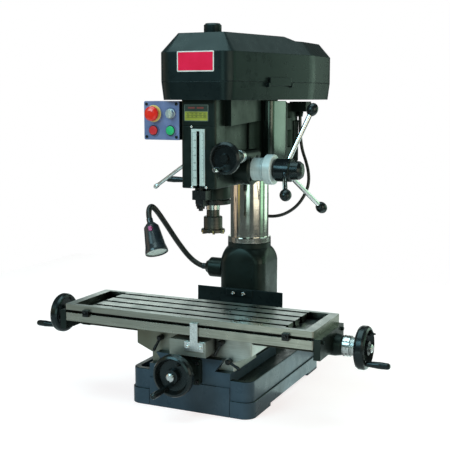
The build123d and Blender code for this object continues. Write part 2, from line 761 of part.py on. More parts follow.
# Saddle: slides on the base's way and carries the table's way across it
boss_front_y = table_front_y + MOVE_GAP
boss_top_z = saddle_top_z - BOSS_DROP
saddle_edge_z = saddle_low_z + SADDLE_FOOT_HEIGHT
half_saddle = SADDLE_WIDTH / 2
half_foot = SADDLE_FOOT_WIDTH / 2
with BuildPart() as saddle_casting:
    prism(
        Plane.XZ.offset(-saddle_back_y),
        [
            (-half_foot, saddle_low_z),
            (half_foot, saddle_low_z),
            (half_foot, saddle_edge_z),
            (half_saddle, saddle_edge_z + SADDLE_SLOPE_HEIGHT),
            (half_saddle, saddle_top_z),
            (-half_saddle, saddle_top_z),
            (-half_saddle, saddle_edge_z + SADDLE_SLOPE_HEIGHT),
            (-half_foot, saddle_edge_z),
        ],
        SADDLE_DEPTH,
    )
    fillet(saddle_casting.edges().filter_by(Axis.Z), 5)
    block(
        (BOSS_X - BOSS_WIDTH / 2, BOSS_X + BOSS_WIDTH / 2),
        (boss_front_y, SADDLE_FRONT_Y + 5),
        (boss_top_z - BOSS_HEIGHT, boss_top_z),
    )
    cut_top_z = dovetail_z + MOVE_GAP
    prism(
        Plane.XZ.offset(-saddle_back_y),
        [
            (-way_half(saddle_low_z) - side_gap, saddle_low_z),
            (way_half(saddle_low_z) + side_gap + GIB_THICK, saddle_low_z),
            (way_half(cut_top_z) + side_gap + GIB_THICK, cut_top_z),
            (-way_half(cut_top_z) - side_gap, cut_top_z),
        ],
        SADDLE_DEPTH,
        Mode.SUBTRACT,
    )
    cut_low_z = x_way_low_z - MOVE_GAP
    prism(
        Plane.YZ.offset(-half_saddle),
        [
            (TABLE_WAY_Y - table_way_half(cut_low_z) - side_gap, cut_low_z),
            (TABLE_WAY_Y + table_way_half(cut_low_z) + side_gap + GIB_THICK, cut_low_z),
            (TABLE_WAY_Y + table_way_half(saddle_top_z) + side_gap + GIB_THICK, saddle_top_z),
            (TABLE_WAY_Y - table_way_half(saddle_top_z) - side_gap, saddle_top_z),
        ],
        SADDLE_WIDTH,
        Mode.SUBTRACT,
    )
    for x, z in (lock_left, lock_right, lock_cross):
        rod((x, SADDLE_FRONT_Y + 5, z), (x, SADDLE_FRONT_Y - LOCK_HUB_LENGTH * 0.6, z), LOCK_STUD_DIA)
    for x in (-STOP_SCREW_X, STOP_SCREW_X):
        pierce(
            along(front_plane(boss_front_y), STOP_X + x, boss_top_z - STOP_DROP - STOP_FOOT / 2),
            SMALL_SCREW_GRIP + 1,
            small_hole,
        )
save(saddle_casting, "saddle_casting")

# Strips that take up the play in the two ways
with BuildPart() as gibs:
    prism(
        Plane.XZ.offset(-saddle_back_y),
        [
            (way_half(saddle_low_z) + side_gap, saddle_low_z),
            (way_half(saddle_low_z) + side_gap + GIB_THICK, saddle_low_z),
            (way_half(dovetail_z) + side_gap + GIB_THICK, dovetail_z),
            (way_half(dovetail_z) + side_gap, dovetail_z),
        ],
        SADDLE_DEPTH,
    )
    prism(
        Plane.YZ.offset(-half_saddle),
        [
            (TABLE_WAY_Y + table_way_half(x_way_low_z) + side_gap, x_way_low_z),
            (TABLE_WAY_Y + table_way_half(x_way_low_z) + side_gap + GIB_THICK, x_way_low_z),
            (TABLE_WAY_Y + table_way_half(saddle_top_z) + side_gap + GIB_THICK, saddle_top_z),
            (TABLE_WAY_Y + table_way_half(saddle_top_z) + side_gap, saddle_top_z),
        ],
        SADDLE_WIDTH,
    )
save(gibs, "gibs")

# Leadscrew nuts, both fixed to the saddle
nut_half = SCREW_DIA / 2 + NUT_WALL
x_nut_half = TABLE_CHANNEL_WIDTH / 2 - 1.5
nut_bore = SCREW_DIA + 2 * SHAFT_FIT
nut_y = (saddle_mid_y - NUT_LENGTH / 2, saddle_mid_y + NUT_LENGTH / 2)
with BuildPart() as feed_nuts:
    block((-nut_half, nut_half), nut_y, (Y_SCREW_Z - nut_half, cut_top_z))
    rod((0, nut_y[0], Y_SCREW_Z), (0, nut_y[1], Y_SCREW_Z), nut_bore, Mode.SUBTRACT)
    block(
        (-NUT_LENGTH / 2, NUT_LENGTH / 2),
        (TABLE_WAY_Y - x_nut_half, TABLE_WAY_Y + x_nut_half),
        (cut_low_z, x_screw_z + SCREW_DIA / 2 + 2),
    )
    rod(
        (-NUT_LENGTH / 2, TABLE_WAY_Y, x_screw_z),
        (NUT_LENGTH / 2, TABLE_WAY_Y, x_screw_z),
        nut_bore,
        Mode.SUBTRACT,
    )
save(feed_nuts, "feed_nuts")

# Stop bracket on the saddle boss: its tongue stands before the table's front face
stop_top_z = boss_top_z - STOP_DROP
stop_face = along(front_plane(boss_front_y - STOP_THICK), STOP_X, stop_top_z - STOP_FOOT / 2)
with BuildPart() as stop_bracket:
    block(
        (STOP_X - STOP_WIDTH / 2, STOP_X + STOP_WIDTH / 2),
        (boss_front_y - STOP_THICK, boss_front_y),
        (stop_top_z - STOP_FOOT, stop_top_z),
    )
    block(
        (STOP_X - TONGUE_WIDTH / 2, STOP_X + TONGUE_WIDTH / 2),
        (boss_front_y - STOP_THICK, boss_front_y - 2),
        (stop_top_z - STOP_FOOT, table_top_z - STOP_GROOVE_DROP + 8),
    )
    for x in (-STOP_SCREW_X, STOP_SCREW_X):
        pierce(along(stop_face, x, 0), STOP_THICK, small_hole)
    for x in (-STOP_SCREW_X, STOP_SCREW_X):
        cap_screw(along(stop_face, x, 0, 0.05), 10, 5, SMALL_SCREW_DIA, STOP_THICK + SMALL_SCREW_GRIP)
save(stop_bracket, "stop_bracket")


def lock_lever(place, angle):
    """A locking lever on its stud, with its handle at an angle from +X towards +Z."""
    face = along(front_plane(SADDLE_FRONT_Y - MOVE_GAP), *place)
    reach = (LOCK_LENGTH * math.cos(math.radians(angle)), LOCK_LENGTH * math.sin(math.radians(angle)))
    start = face.from_local_coords((0, 0, LOCK_HUB_LENGTH / 2))
    end = face.from_local_coords((reach[0], reach[1], LOCK_HUB_LENGTH / 2 + 8))
    hub = LOCK_HUB_DIA / 2
    turn(face, [(0, hub), (LOCK_HUB_LENGTH - 3, hub), (LOCK_HUB_LENGTH, hub * 0.65)])
    rod(start, end, LOCK_ROD_DIA)
    turn(Plane(origin=end, z_dir=end - start), [(-8, 3.8), (3, 4.6), (8, 3.8), (10, 2)])
    stud_bore = LOCK_STUD_DIA / 2 + SHAFT_FIT
    turn(face, [(0, stud_bore), (LOCK_HUB_LENGTH * 0.6, stud_bore)], Mode.SUBTRACT)


with BuildPart() as x_lock_left:
    lock_lever(lock_left, LOCK_LEFT_ANGLE)
save(x_lock_left, "x_lock_left")

with BuildPart() as x_lock_right:
    lock_lever(lock_right, LOCK_RIGHT_ANGLE)
save(x_lock_right, "x_lock_right")

with BuildPart() as y_lock:
    lock_lever(lock_cross, LOCK_CROSS_ANGLE)
save(y_lock, "y_lock")

# Table: long ground slab with T-slots, end troughs and its way below
trough_end = table_end_x - TABLE_END_RIM
trough_start = trough_end - TROUGH_LENGTH
slot_floor_z = table_top_z - TSLOT_NECK_DEPTH - TSLOT_HEAD_DEPTH
groove_z = table_top_z - STOP_GROOVE_DROP
with BuildPart() as table_casting:
    block((-table_end_x, table_end_x), (table_front_y, table_back_y), (table_low_z, table_top_z))
    fillet(table_casting.edges().filter_by(Axis.Z), 5)
    prism(
        Plane.YZ.offset(-table_end_x),
        [
            (TABLE_WAY_Y - table_way_half(x_way_low_z), x_way_low_z),
            (TABLE_WAY_Y + table_way_half(x_way_low_z), x_way_low_z),
            (TABLE_WAY_Y + table_way_half(table_low_z), table_low_z),
            (TABLE_WAY_Y - table_way_half(table_low_z), table_low_z),
        ],
        TABLE_LENGTH,
    )
    half_channel = TABLE_CHANNEL_WIDTH / 2
    block(
        (-table_end_x, table_end_x),
        (TABLE_WAY_Y - half_channel, TABLE_WAY_Y + half_channel),
        (x_way_low_z, x_screw_z + SCREW_DIA / 2 + 5),
        Mode.SUBTRACT,
    )
    for number in range(TSLOT_COUNT):
        y = TABLE_Y + (number - (TSLOT_COUNT - 1) / 2) * TSLOT_PITCH
        block(
            (-trough_start - 1, trough_start + 1),
            (y - TSLOT_NECK / 2, y + TSLOT_NECK / 2),
            (slot_floor_z, table_top_z),
            Mode.SUBTRACT,
        )
        block(
            (-trough_start - 1, trough_start + 1),
            (y - TSLOT_HEAD / 2, y + TSLOT_HEAD / 2),
            (slot_floor_z, slot_floor_z + TSLOT_HEAD_DEPTH),
            Mode.SUBTRACT,
        )
    for x in ((-trough_end, -trough_start), (trough_start, trough_end)):
        block(
            x,
            (table_front_y + TABLE_SIDE_RIM, table_back_y - TABLE_SIDE_RIM),
            (slot_floor_z, table_top_z),
            Mode.SUBTRACT,
        )
    block(
        (-table_end_x, table_end_x),
        (table_front_y, table_front_y + STOP_GROOVE_DEPTH),
        (groove_z - STOP_GROOVE_HEIGHT / 2, groove_z + STOP_GROOVE_HEIGHT / 2),
        Mode.SUBTRACT,
    )
    for side in (-1, 1):
        for y, z in bracket_places:
            pierce(side_plane(side * table_end_x, y, z, side), SMALL_SCREW_GRIP + 1, small_hole)
save(table_casting, "table_casting")

# Two trip dogs clamped in the groove along the table's front
with BuildPart() as trip_dogs:
    for x in (-DOG_X, DOG_X):
        block((x - 9, x + 9), (table_front_y - DOG_THICK, table_front_y), (groove_z - 9, groove_z + 9))
        block(
            (x - 8, x + 8),
            (table_front_y - 1, table_front_y + STOP_GROOVE_DEPTH - 2),
            (groove_z - STOP_GROOVE_HEIGHT / 2 + 0.5, groove_z + STOP_GROOVE_HEIGHT / 2 - 0.5),
        )
        cap_screw(along(front_plane(table_front_y - DOG_THICK), x, groove_z), 9, 5, 5, DOG_THICK)
save(trip_dogs, "trip_dogs")

# End brackets of the table with the bearings of the long leadscrew, and their screws
bracket_face = BRACKET_THICK + BRACKET_BOSS_LENGTH
with BuildPart() as end_brackets:
    for side in (-1, 1):
        end = side_plane(side * table_end_x, TABLE_WAY_Y, x_screw_z, side)
        block(
            sorted((side * table_end_x, side * (table_end_x + BRACKET_THICK))),
            (table_front_y + 2, table_front_y + 2 + BRACKET_WIDTH),
            (table_top_z - BRACKET_DROP - BRACKET_HEIGHT, table_top_z - BRACKET_DROP),
        )
        turn(
            end,
            [
                (0, boss_radius),
                (BRACKET_THICK + 2, boss_radius),
                (bracket_face - 4, boss_radius - 3),
                (bracket_face, boss_radius - 6),
            ],
        )
        turn(end, [(0, bearing), (bracket_face, bearing)], Mode.SUBTRACT)
        for y, z in bracket_places:
            plate = side_plane(side * (table_end_x + BRACKET_THICK), y, z, side)
            pierce(plate, BRACKET_THICK, small_hole)
    for side in (-1, 1):
        for y, z in bracket_places:
            plate = side_plane(side * (table_end_x + BRACKET_THICK + 0.05), y, z, side)
            cap_screw(plate, 10, 6, SMALL_SCREW_DIA, BRACKET_THICK + SMALL_SCREW_GRIP)
save(end_brackets, "end_brackets")

# Handwheels. Distances run outwards from the face of a bearing boss
dial_end = MOVE_GAP + DIAL_LENGTH
collar_end = dial_end + COLLAR_LENGTH
wheel_start = collar_end + SPACER_LENGTH
wheel_end = wheel_start + WHEEL_RIM
shaft_end = wheel_end + HUB_NUT_LENGTH


def shaft_nut(plane):
    """Cap nut on the end of a leadscrew."""
    turn(
        plane,
        [(wheel_end, HUB_NUT_DIA / 2), (shaft_end - 3, HUB_NUT_DIA / 2), (shaft_end, HUB_NUT_DIA / 2 - 4)],
    )


def feed_dial_rings(plane):
    """Graduated dial, knurled clamping collar and spacer, all on the leadscrew."""
    radius = DIAL_DIA / 2
    lathe(
        plane,
        [
            (MOVE_GAP, bearing),
            (MOVE_GAP, radius - 1),
            (MOVE_GAP + 1, radius),
            (dial_end, radius),
            (dial_end, radius - 4),
            (collar_end, radius - 4),
            (collar_end, SPACER_DIA / 2),
            (wheel_start, SPACER_DIA / 2),
            (wheel_start, bearing),
        ],
    )


def handwheel(plane):
    """Dished wheel with a pin for its grip on the plane's X axis and a small pointed nub opposite."""
    radius = WHEEL_DIA / 2
    hub = WHEEL_HUB_DIA / 2
    rim = along(plane, 0, 0, wheel_start)
    turn(
        rim,
        [
            (0, radius - 8),
            (2.5, radius - 3),
            (8, radius),
            (WHEEL_RIM - 8, radius),
            (WHEEL_RIM - 2.5, radius - 3),
            (WHEEL_RIM, radius - 8),
        ],
    )
    lathe(
        rim,
        [(WHEEL_RIM, radius - 9), (WHEEL_RIM / 2, radius - 16), (WHEEL_RIM / 2, hub + 2), (WHEEL_RIM, hub)],
        Mode.SUBTRACT,
    )
    lathe(rim, [(0, radius - 10), (7, radius - 15), (7, hub + 2), (0, hub)], Mode.SUBTRACT)
    pin = along(rim, GRIP_RADIUS, 0)
    turn(
        pin,
        [
            (7.5, 8),
            (WHEEL_RIM - 1, 7),
            (WHEEL_RIM - 1, GRIP_PIN_DIA / 2),
            (WHEEL_RIM + GRIP_LENGTH - 8, GRIP_PIN_DIA / 2),
        ],
    )
    turn(along(rim, -GRIP_RADIUS + 2, 0), [(7.5, 6), (WHEEL_RIM - 4, 5.5), (WHEEL_RIM + 9, 1.5)])
    turn(rim, [(0, SCREW_DIA / 2), (WHEEL_RIM, SCREW_DIA / 2)], Mode.SUBTRACT)


def wheel_grip(plane):
    """Handle that spins on the pin of a wheel."""
    pin = along(plane, GRIP_RADIUS, 0, wheel_end + MOVE_GAP)
    radius = GRIP_DIA / 2
    turn(
        pin,
        [
            (0, radius * 0.72),
            (4, radius * 0.8),
            (GRIP_LENGTH * 0.55, radius),
            (GRIP_LENGTH - 6, radius * 0.92),
            (GRIP_LENGTH - 1.5, radius * 0.7),
            (GRIP_LENGTH, radius * 0.4),
        ],
    )
    bore = GRIP_PIN_DIA / 2 + SHAFT_FIT
    turn(pin, [(0, bore), (GRIP_LENGTH - 7, bore)], Mode.SUBTRACT)


def wheel_plane(centre, outward, grip_towards):
    """Plane at a bearing boss face: Z outwards along the screw, X towards the grip."""
    return Plane(origin=centre, x_dir=grip_towards, z_dir=outward)


x_face = table_end_x + bracket_face
right_wheel = wheel_plane((x_face, TABLE_WAY_Y, x_screw_z), (1, 0, 0), (0, -0.64, -0.77))
left_wheel = wheel_plane((-x_face, TABLE_WAY_Y, x_screw_z), (-1, 0, 0), (0, -0.64, -0.77))
front_wheel = wheel_plane((0, -y_boss_face, Y_SCREW_Z), (0, -1, 0), (-0.5, 0, -0.866))

with BuildPart() as x_leadscrew:
    shaft_x = x_face + wheel_end + 2
    rod((-shaft_x, TABLE_WAY_Y, x_screw_z), (shaft_x, TABLE_WAY_Y, x_screw_z), SCREW_DIA)
    for plane in (left_wheel, right_wheel):
        shaft_nut(plane)
        feed_dial_rings(plane)
save(x_leadscrew, "x_leadscrew")

with BuildPart() as x_handwheels:
    for plane in (left_wheel, right_wheel):
        handwheel(plane)
save(x_handwheels, "x_handwheels")

with BuildPart() as x_grip_left:
    wheel_grip(left_wheel)
save(x_grip_left, "x_grip_left")

with BuildPart() as x_grip_right:
    wheel_grip(right_wheel)
save(x_grip_right, "x_grip_right")

with BuildPart() as y_leadscrew:
    screw_back_y = pad_front_y - BASE_WALL - 8
    rod((0, screw_back_y, Y_SCREW_Z), (0, -y_boss_face - wheel_end - 2, Y_SCREW_Z), SCREW_DIA)
    shaft_nut(front_wheel)
    feed_dial_rings(front_wheel)
save(y_leadscrew, "y_leadscrew")

with BuildPart() as y_handwheel:
    handwheel(front_wheel)
save(y_handwheel, "y_handwheel")

with BuildPart() as y_grip:
    wheel_grip(front_wheel)
save(y_grip, "y_grip")

# Lifting rack beside the column: it turns with the head and stays at its height
rack_way = Vector(math.cos(math.radians(RACK_ANGLE)), math.sin(math.radians(RACK_ANGLE)), 0)
rack_across = Vector(rack_way.Y, -rack_way.X, 0)
rack_inner = COLUMN_DIA / 2 + MOVE_GAP
rack_outer = rack_inner + RACK_THICK
rack_low_z = ring_top_z + MOVE_GAP
rack_high_z = COLUMN_TOP_Z - 3
rack_plane = Plane(
    origin=Vector(0, COLUMN_Y, 0) - rack_across * (RACK_WIDTH / 2), x_dir=rack_way, z_dir=rack_across
)


def rack_outline(base, pitch_line, z_low, z_high, z_tooth):
    """Outline of a toothed bar that stands along Z, with one tooth centred on z_tooth."""
    points = [(base, z_high), (base, z_low), (pitch_line - rack_root, z_low)]
    first = math.ceil((z_low + rack_pitch - z_tooth) / rack_pitch)
    last = math.floor((z_high - rack_pitch - z_tooth) / rack_pitch)
    for number in range(first, last + 1):
        z = z_tooth + number * rack_pitch
        points.append((pitch_line - rack_root, z - tooth_root))
        points.append((pitch_line + RACK_MODULE, z - tooth_tip))
        points.append((pitch_line + RACK_MODULE, z + tooth_tip))
        points.append((pitch_line - rack_root, z + tooth_root))
    points.append((pitch_line - rack_root, z_high))
    return points


with BuildPart() as column_rack:
    prism(
        rack_plane,
        rack_outline(rack_inner, rack_outer - RACK_MODULE, rack_low_z, rack_high_z, capstan_z),
        RACK_WIDTH,
    )
save(column_rack, "column_rack")

# Head casting: body with the quill bore, a collar round the column and the lifting gearbox
collar_radius = COLLAR_DIA / 2
cap_z = head_top_z - COLLAR_CAP
sleeve_z = head_top_z - 20
lift_z = HEAD_BOTTOM_Z + LIFT_RISE
lift_y = COLUMN_Y + LIFT_BACK
lift_face_x = -LIFT_REACH
lift_axis = side_plane(lift_face_x, lift_y, lift_z, -1)
lock_y = spindle_y + QUILL_LOCK_BACK
lock_z = HEAD_BOTTOM_Z + QUILL_LOCK_RISE
lock_axis = side_plane(-head_side_x, lock_y, lock_z, -1)
plate_front_y = COLUMN_Y + collar_radius + 6
fine_x = head_side_x + FINE_FROM_HEAD
fine_z = capstan_z + FINE_RISE
quill_radius = QUILL_DIA / 2
sleeve_dia = SPLINE_DIA + 12
gear_bolts = [(a, GEARBOX_DIA / 2 - 8) for a in (60, 135, 225, 315)]
plate_bolts = [(x, z) for x in (-34, 34) for z in (HEAD_BOTTOM_Z + 70, head_top_z - 50)]
with BuildPart() as head_casting:
    block((-head_side_x, head_side_x), (head_front_y, COLUMN_Y), (HEAD_BOTTOM_Z, head_top_z))
    fillet(head_casting.edges().filter_by(Axis.Z).group_by(Axis.Y)[0], HEAD_EDGE)
    fillet(head_casting.edges().filter_by(Axis.X).group_by(Axis.Y)[0].group_by(Axis.Z)[0], 3)
    for x in ((head_side_x - PANEL_RECESS, head_side_x), (-head_side_x, PANEL_RECESS - head_side_x)):
        for low, high in PANEL_LEVELS:
            block(
                x,
                (spindle_y - PANEL_AHEAD, spindle_y + PANEL_BEHIND),
                (HEAD_BOTTOM_Z + low, HEAD_BOTTOM_Z + high),
                Mode.SUBTRACT,
            )
    shoulder_front = spindle_y - SHOULDER_AHEAD
    shoulder_back = spindle_y + SHOULDER_BEHIND
    prism(
        Plane.YZ.offset(head_side_x - PANEL_RECESS),
        [
            (shoulder_front, head_top_z - SHOULDER_DROPS[0]),
            (shoulder_back, head_top_z - SHOULDER_DROPS[1]),
            (shoulder_back, head_top_z),
            (shoulder_front, head_top_z),
        ],
        PANEL_RECESS + SHOULDER_OUT,
    )
    turn(column_axis, [(HEAD_BOTTOM_Z, collar_radius), (head_top_z, collar_radius)])
    prism(
        Plane.XY.offset(HEAD_BOTTOM_Z),
        [
            (-head_side_x, COLUMN_Y - 1.45 * collar_radius),
            (head_side_x, COLUMN_Y - 1.45 * collar_radius),
            (collar_radius * 0.94, COLUMN_Y - collar_radius * 0.34),
            (-collar_radius * 0.94, COLUMN_Y - collar_radius * 0.34),
        ],
        HEAD_HEIGHT,
    )
    turn(
        spindle_axis,
        [(chin_z, CHIN_DIA / 2 - 4), (chin_z + 4, CHIN_DIA / 2), (HEAD_BOTTOM_Z + 1, CHIN_DIA / 2)],
    )
    block((-45, 45), (COLUMN_Y, plate_front_y), (HEAD_BOTTOM_Z + 53, head_top_z - 32))
    block(
        (lift_face_x, -collar_radius + 20),
        (COLUMN_Y - 17, COLUMN_Y + 68),
        (lift_z - 32, lift_z + 33),
    )
    block(
        (-head_side_x, head_side_x),
        (head_front_y, head_front_y + 1.2),
        (head_top_z - FRONT_STEP_DROP - 1, head_top_z - FRONT_STEP_DROP + 1),
        Mode.SUBTRACT,
    )
    column_bore = COLUMN_DIA / 2 + SHAFT_FIT
    turn(column_axis, [(HEAD_BOTTOM_Z, column_bore), (cap_z, column_bore)], Mode.SUBTRACT)
    slot_out = rack_outer + 1.5
    slot_wide = RACK_WIDTH / 2 + 1
    slot_corners = []
    for reach, across in ((20, -slot_wide), (slot_out, -slot_wide), (slot_out, slot_wide), (20, slot_wide)):
        corner = Vector(0, COLUMN_Y, 0) + rack_way * reach + rack_across * across
        slot_corners.append((corner.X, corner.Y))
    prism(Plane.XY.offset(HEAD_BOTTOM_Z), slot_corners, cap_z - HEAD_BOTTOM_Z, Mode.SUBTRACT)
    quill_bore = quill_radius + SHAFT_FIT
    turn(spindle_axis, [(chin_z, quill_bore), (sleeve_z, quill_bore)], Mode.SUBTRACT)
    turn(
        spindle_axis,
        [(sleeve_z, sleeve_dia / 2 + SHAFT_FIT), (head_top_z, sleeve_dia / 2 + SHAFT_FIT)],
        Mode.SUBTRACT,
    )
    half_slot = QUILL_RACK_WIDTH / 2 + 1
    block(
        (-half_slot, half_slot),
        (spindle_y, spindle_y + quill_radius + RACK_MODULE + 1.5),
        (chin_z, sleeve_z),
        Mode.SUBTRACT,
    )
    gear_room = pinion_radius + RACK_MODULE + 0.8
    turn(capstan_axis, [(-PINION_WIDTH / 2 - 1, gear_room), (head_side_x, gear_room)], Mode.SUBTRACT)
    tail_bore = CAPSTAN_TAIL_DIA / 2 + SHAFT_FIT
    turn(capstan_axis, [(-head_side_x, tail_bore), (0, tail_bore)], Mode.SUBTRACT)
    block(
        (-STOP_SLOT_WIDTH / 2, STOP_SLOT_WIDTH / 2),
        (head_front_y, head_front_y + STOP_SLOT_DEPTH),
        (HEAD_BOTTOM_Z, head_top_z - STOP_SLOT_TOP_DROP),
        Mode.SUBTRACT,
    )
    pierce(lock_axis, head_side_x - quill_radius + 6, LOCK_SCREW_DIA + 2 * SHAFT_FIT)
    pierce(lift_axis, 42, LIFT_SHAFT_DIA + 2 * SHAFT_FIT)
    for angle, reach in gear_bolts:
        spot = along(
            side_plane(head_side_x, capstan_y, capstan_z, 1),
            reach * math.cos(math.radians(angle)),
            reach * math.sin(math.radians(angle)),
        )
        pierce(spot, SMALL_SCREW_GRIP + 1, small_hole)
    for x, z in plate_bolts:
        spot = Plane(origin=(x, plate_front_y, z), z_dir=(0, 1, 0))
        pierce(spot, SMALL_SCREW_GRIP + 8, PLATE_BOLT_DIA + 2 * HOLE_GAP)
save(head_casting, "head_casting")

# Downfeed gearbox on the head's right side with the tube of the fine-feed worm,
# and the drum of the quill's return spring on its left side
tube_front_y = head_front_y + 4
gear_face_x = head_side_x + GEARBOX_LENGTH
with BuildPart() as feed_gearbox:
    drum = side_plane(-head_side_x, capstan_y, capstan_z, -1)
    turn(drum, [(0, 33), (3, 33), (3, 30), (20, 30), (24, 26)])
    turn(drum, [(0, tail_bore), (14, tail_bore)], Mode.SUBTRACT)
    gear_radius = GEARBOX_DIA / 2
    turn(
        capstan_axis,
        [(head_side_x, gear_radius), (gear_face_x - 4, gear_radius), (gear_face_x, gear_radius - 4)],
    )
    rod((fine_x, tube_front_y, fine_z), (fine_x, capstan_y + 46, fine_z), FINE_TUBE_DIA)
    block((head_side_x, fine_x), (capstan_y - 46, capstan_y + 40), (fine_z - 12, fine_z + 12))
    shaft_bore = CAPSTAN_SHAFT_DIA / 2 + SHAFT_FIT
    turn(capstan_axis, [(head_side_x, shaft_bore), (gear_face_x, shaft_bore)], Mode.SUBTRACT)
    rod(
        (fine_x, tube_front_y, fine_z),
        (fine_x, tube_front_y + FINE_SHAFT_LENGTH + 2, fine_z),
        FINE_SHAFT_DIA + 2 * SHAFT_FIT,
        Mode.SUBTRACT,
    )
    for angle, reach in gear_bolts:
        spot = along(
            side_plane(gear_face_x - 7, capstan_y, capstan_z, 1),
            reach * math.cos(math.radians(angle)),
            reach * math.sin(math.radians(angle)),
        )
        turn(spot, [(0, 6), (10, 6)], Mode.SUBTRACT)
        pierce(spot, GEARBOX_LENGTH, small_hole)
save(feed_gearbox, "feed_gearbox")


def pinion_outline():
    """Teeth of the quill pinion, with a gap between two teeth facing the rack."""
    points = []
    for number in range(PINION_TEETH):
        centre = math.pi + (number + 0.5) * 2 * math.pi / PINION_TEETH
        for radius, half in (
            (pinion_radius - rack_root, -tooth_root),
            (pinion_radius + RACK_MODULE, -tooth_tip),
            (pinion_radius + RACK_MODULE, tooth_tip),
            (pinion_radius - rack_root, tooth_root),
        ):
            angle = centre + half / radius
            points.append((radius * math.cos(angle), radius * math.sin(angle)))
    return points


# Capstan shaft with the pinion that drives the quill, and the three spokes
dial_x = gear_face_x + MOVE_GAP
collar_x = dial_x + FEED_DIAL_LENGTH
hub_x = collar_x + FEED_COLLAR_LENGTH
hub_end_x = hub_x + HUB_LENGTH
cap_end_x = hub_end_x + HUB_CAP_LENGTH
spoke_x = hub_end_x - 14
spokes = []
for number in range(SPOKE_COUNT):
    angle = math.radians(SPOKE_START_ANGLE + number * 360 / SPOKE_COUNT)
    away = Vector(0, math.cos(angle), math.sin(angle))
    base_point = Vector(0, capstan_y, capstan_z)
    start = base_point + Vector(spoke_x, 0, 0) + away * (HUB_DIA / 2 - 14)
    knob = base_point + Vector(spoke_x + SPOKE_LEAN, 0, 0) + away * SPOKE_RADIUS
    spokes.append((start, knob, knob - (knob - start).normalized() * (KNOB_LENGTH * 0.2)))

with BuildPart() as capstan_shaft:
    tail_end = -head_side_x - 12
    turn(
        capstan_axis,
        [(tail_end, CAPSTAN_TAIL_DIA / 2), (-PINION_WIDTH / 2, CAPSTAN_TAIL_DIA / 2)],
    )
    prism(along(capstan_axis, 0, 0, -PINION_WIDTH / 2), pinion_outline(), PINION_WIDTH)
    turn(capstan_axis, [(PINION_WIDTH / 2, CAPSTAN_SHAFT_DIA / 2), (hub_end_x - 6, CAPSTAN_SHAFT_DIA / 2)])
    for start, knob, end in spokes:
        rod(start, end, SPOKE_DIA)
save(capstan_shaft, "capstan_shaft")

with BuildPart() as feed_dial:
    turn(
        capstan_axis,
        [
            (dial_x, FEED_DIAL_DIA / 2),
            (collar_x, FEED_DIAL_DIA / 2),
            (collar_x, FEED_COLLAR_DIA / 2 - 2),
            (collar_x + 2, FEED_COLLAR_DIA / 2),
            (hub_x - 2, FEED_COLLAR_DIA / 2),
            (hub_x, FEED_COLLAR_DIA / 2 - 2),
        ],
    )
    turn(capstan_axis, [(dial_x, CAPSTAN_SHAFT_DIA / 2), (hub_x, CAPSTAN_SHAFT_DIA / 2)], Mode.SUBTRACT)
save(feed_dial, "feed_dial")

# Hub of the capstan and the egg-shaped knobs on its spokes
with BuildPart() as capstan_knobs:
    turn(
        capstan_axis,
        [
            (hub_x, HUB_DIA / 2 - 6),
            (hub_x + 8, HUB_DIA / 2),
            (hub_end_x, HUB_DIA / 2),
            (hub_end_x + 3, HUB_CAP_DIA / 2),
            (cap_end_x - 10, HUB_CAP_DIA / 2 - 2),
            (cap_end_x - 3, HUB_CAP_DIA / 2 - 7),
            (cap_end_x, HUB_CAP_DIA / 2 - 15),
        ],
    )
    shaft_radius = CAPSTAN_SHAFT_DIA / 2
    turn(capstan_axis, [(hub_x, shaft_radius), (hub_end_x - 6, shaft_radius)], Mode.SUBTRACT)
    for start, knob, end in spokes:
        egg(knob, knob - start, KNOB_LENGTH, KNOB_DIA)
        rod(start, end, SPOKE_DIA, Mode.SUBTRACT)
save(capstan_knobs, "capstan_knobs")

# Fine-feed wheel with its dial, crank handle and shaft
fine_axis = Plane(origin=(fine_x, tube_front_y, fine_z), x_dir=(1, 0, 0), z_dir=(0, -1, 0))
fine_wheel_start = FINE_DIAL_LENGTH + MOVE_GAP
fine_wheel_end = fine_wheel_start + FINE_WHEEL_THICK
with BuildPart() as fine_feed:
    fine_radius = FINE_WHEEL_DIA / 2
    turn(fine_axis, [(-FINE_SHAFT_LENGTH, FINE_SHAFT_DIA / 2), (fine_wheel_start + 2, FINE_SHAFT_DIA / 2)])
    turn(fine_axis, [(MOVE_GAP, FINE_TUBE_DIA / 2 + 6), (fine_wheel_start + 1, FINE_TUBE_DIA / 2 - 2)])
    wheel = along(fine_axis, 0, 0, fine_wheel_start)
    turn(
        wheel,
        [
            (0, fine_radius - 5),
            (4, fine_radius),
            (FINE_WHEEL_THICK - 5, fine_radius),
            (FINE_WHEEL_THICK, fine_radius - 6),
        ],
    )
    lathe(
        wheel,
        [
            (FINE_WHEEL_THICK, fine_radius - 8),
            (FINE_WHEEL_THICK / 2, fine_radius - 11),
            (FINE_WHEEL_THICK / 2, 13),
            (FINE_WHEEL_THICK, 11),
        ],
        Mode.SUBTRACT,
    )
    handle = along(wheel, FINE_HANDLE_OUT, FINE_HANDLE_RISE)
    turn(
        handle,
        [
            (FINE_WHEEL_THICK / 2 - 1, 4),
            (FINE_WHEEL_THICK + 4, 4),
            (FINE_WHEEL_THICK + 6, 6),
            (FINE_WHEEL_THICK + 26, 7),
            (FINE_WHEEL_THICK + 32, 5),
        ],
    )
save(fine_feed, "fine_feed")

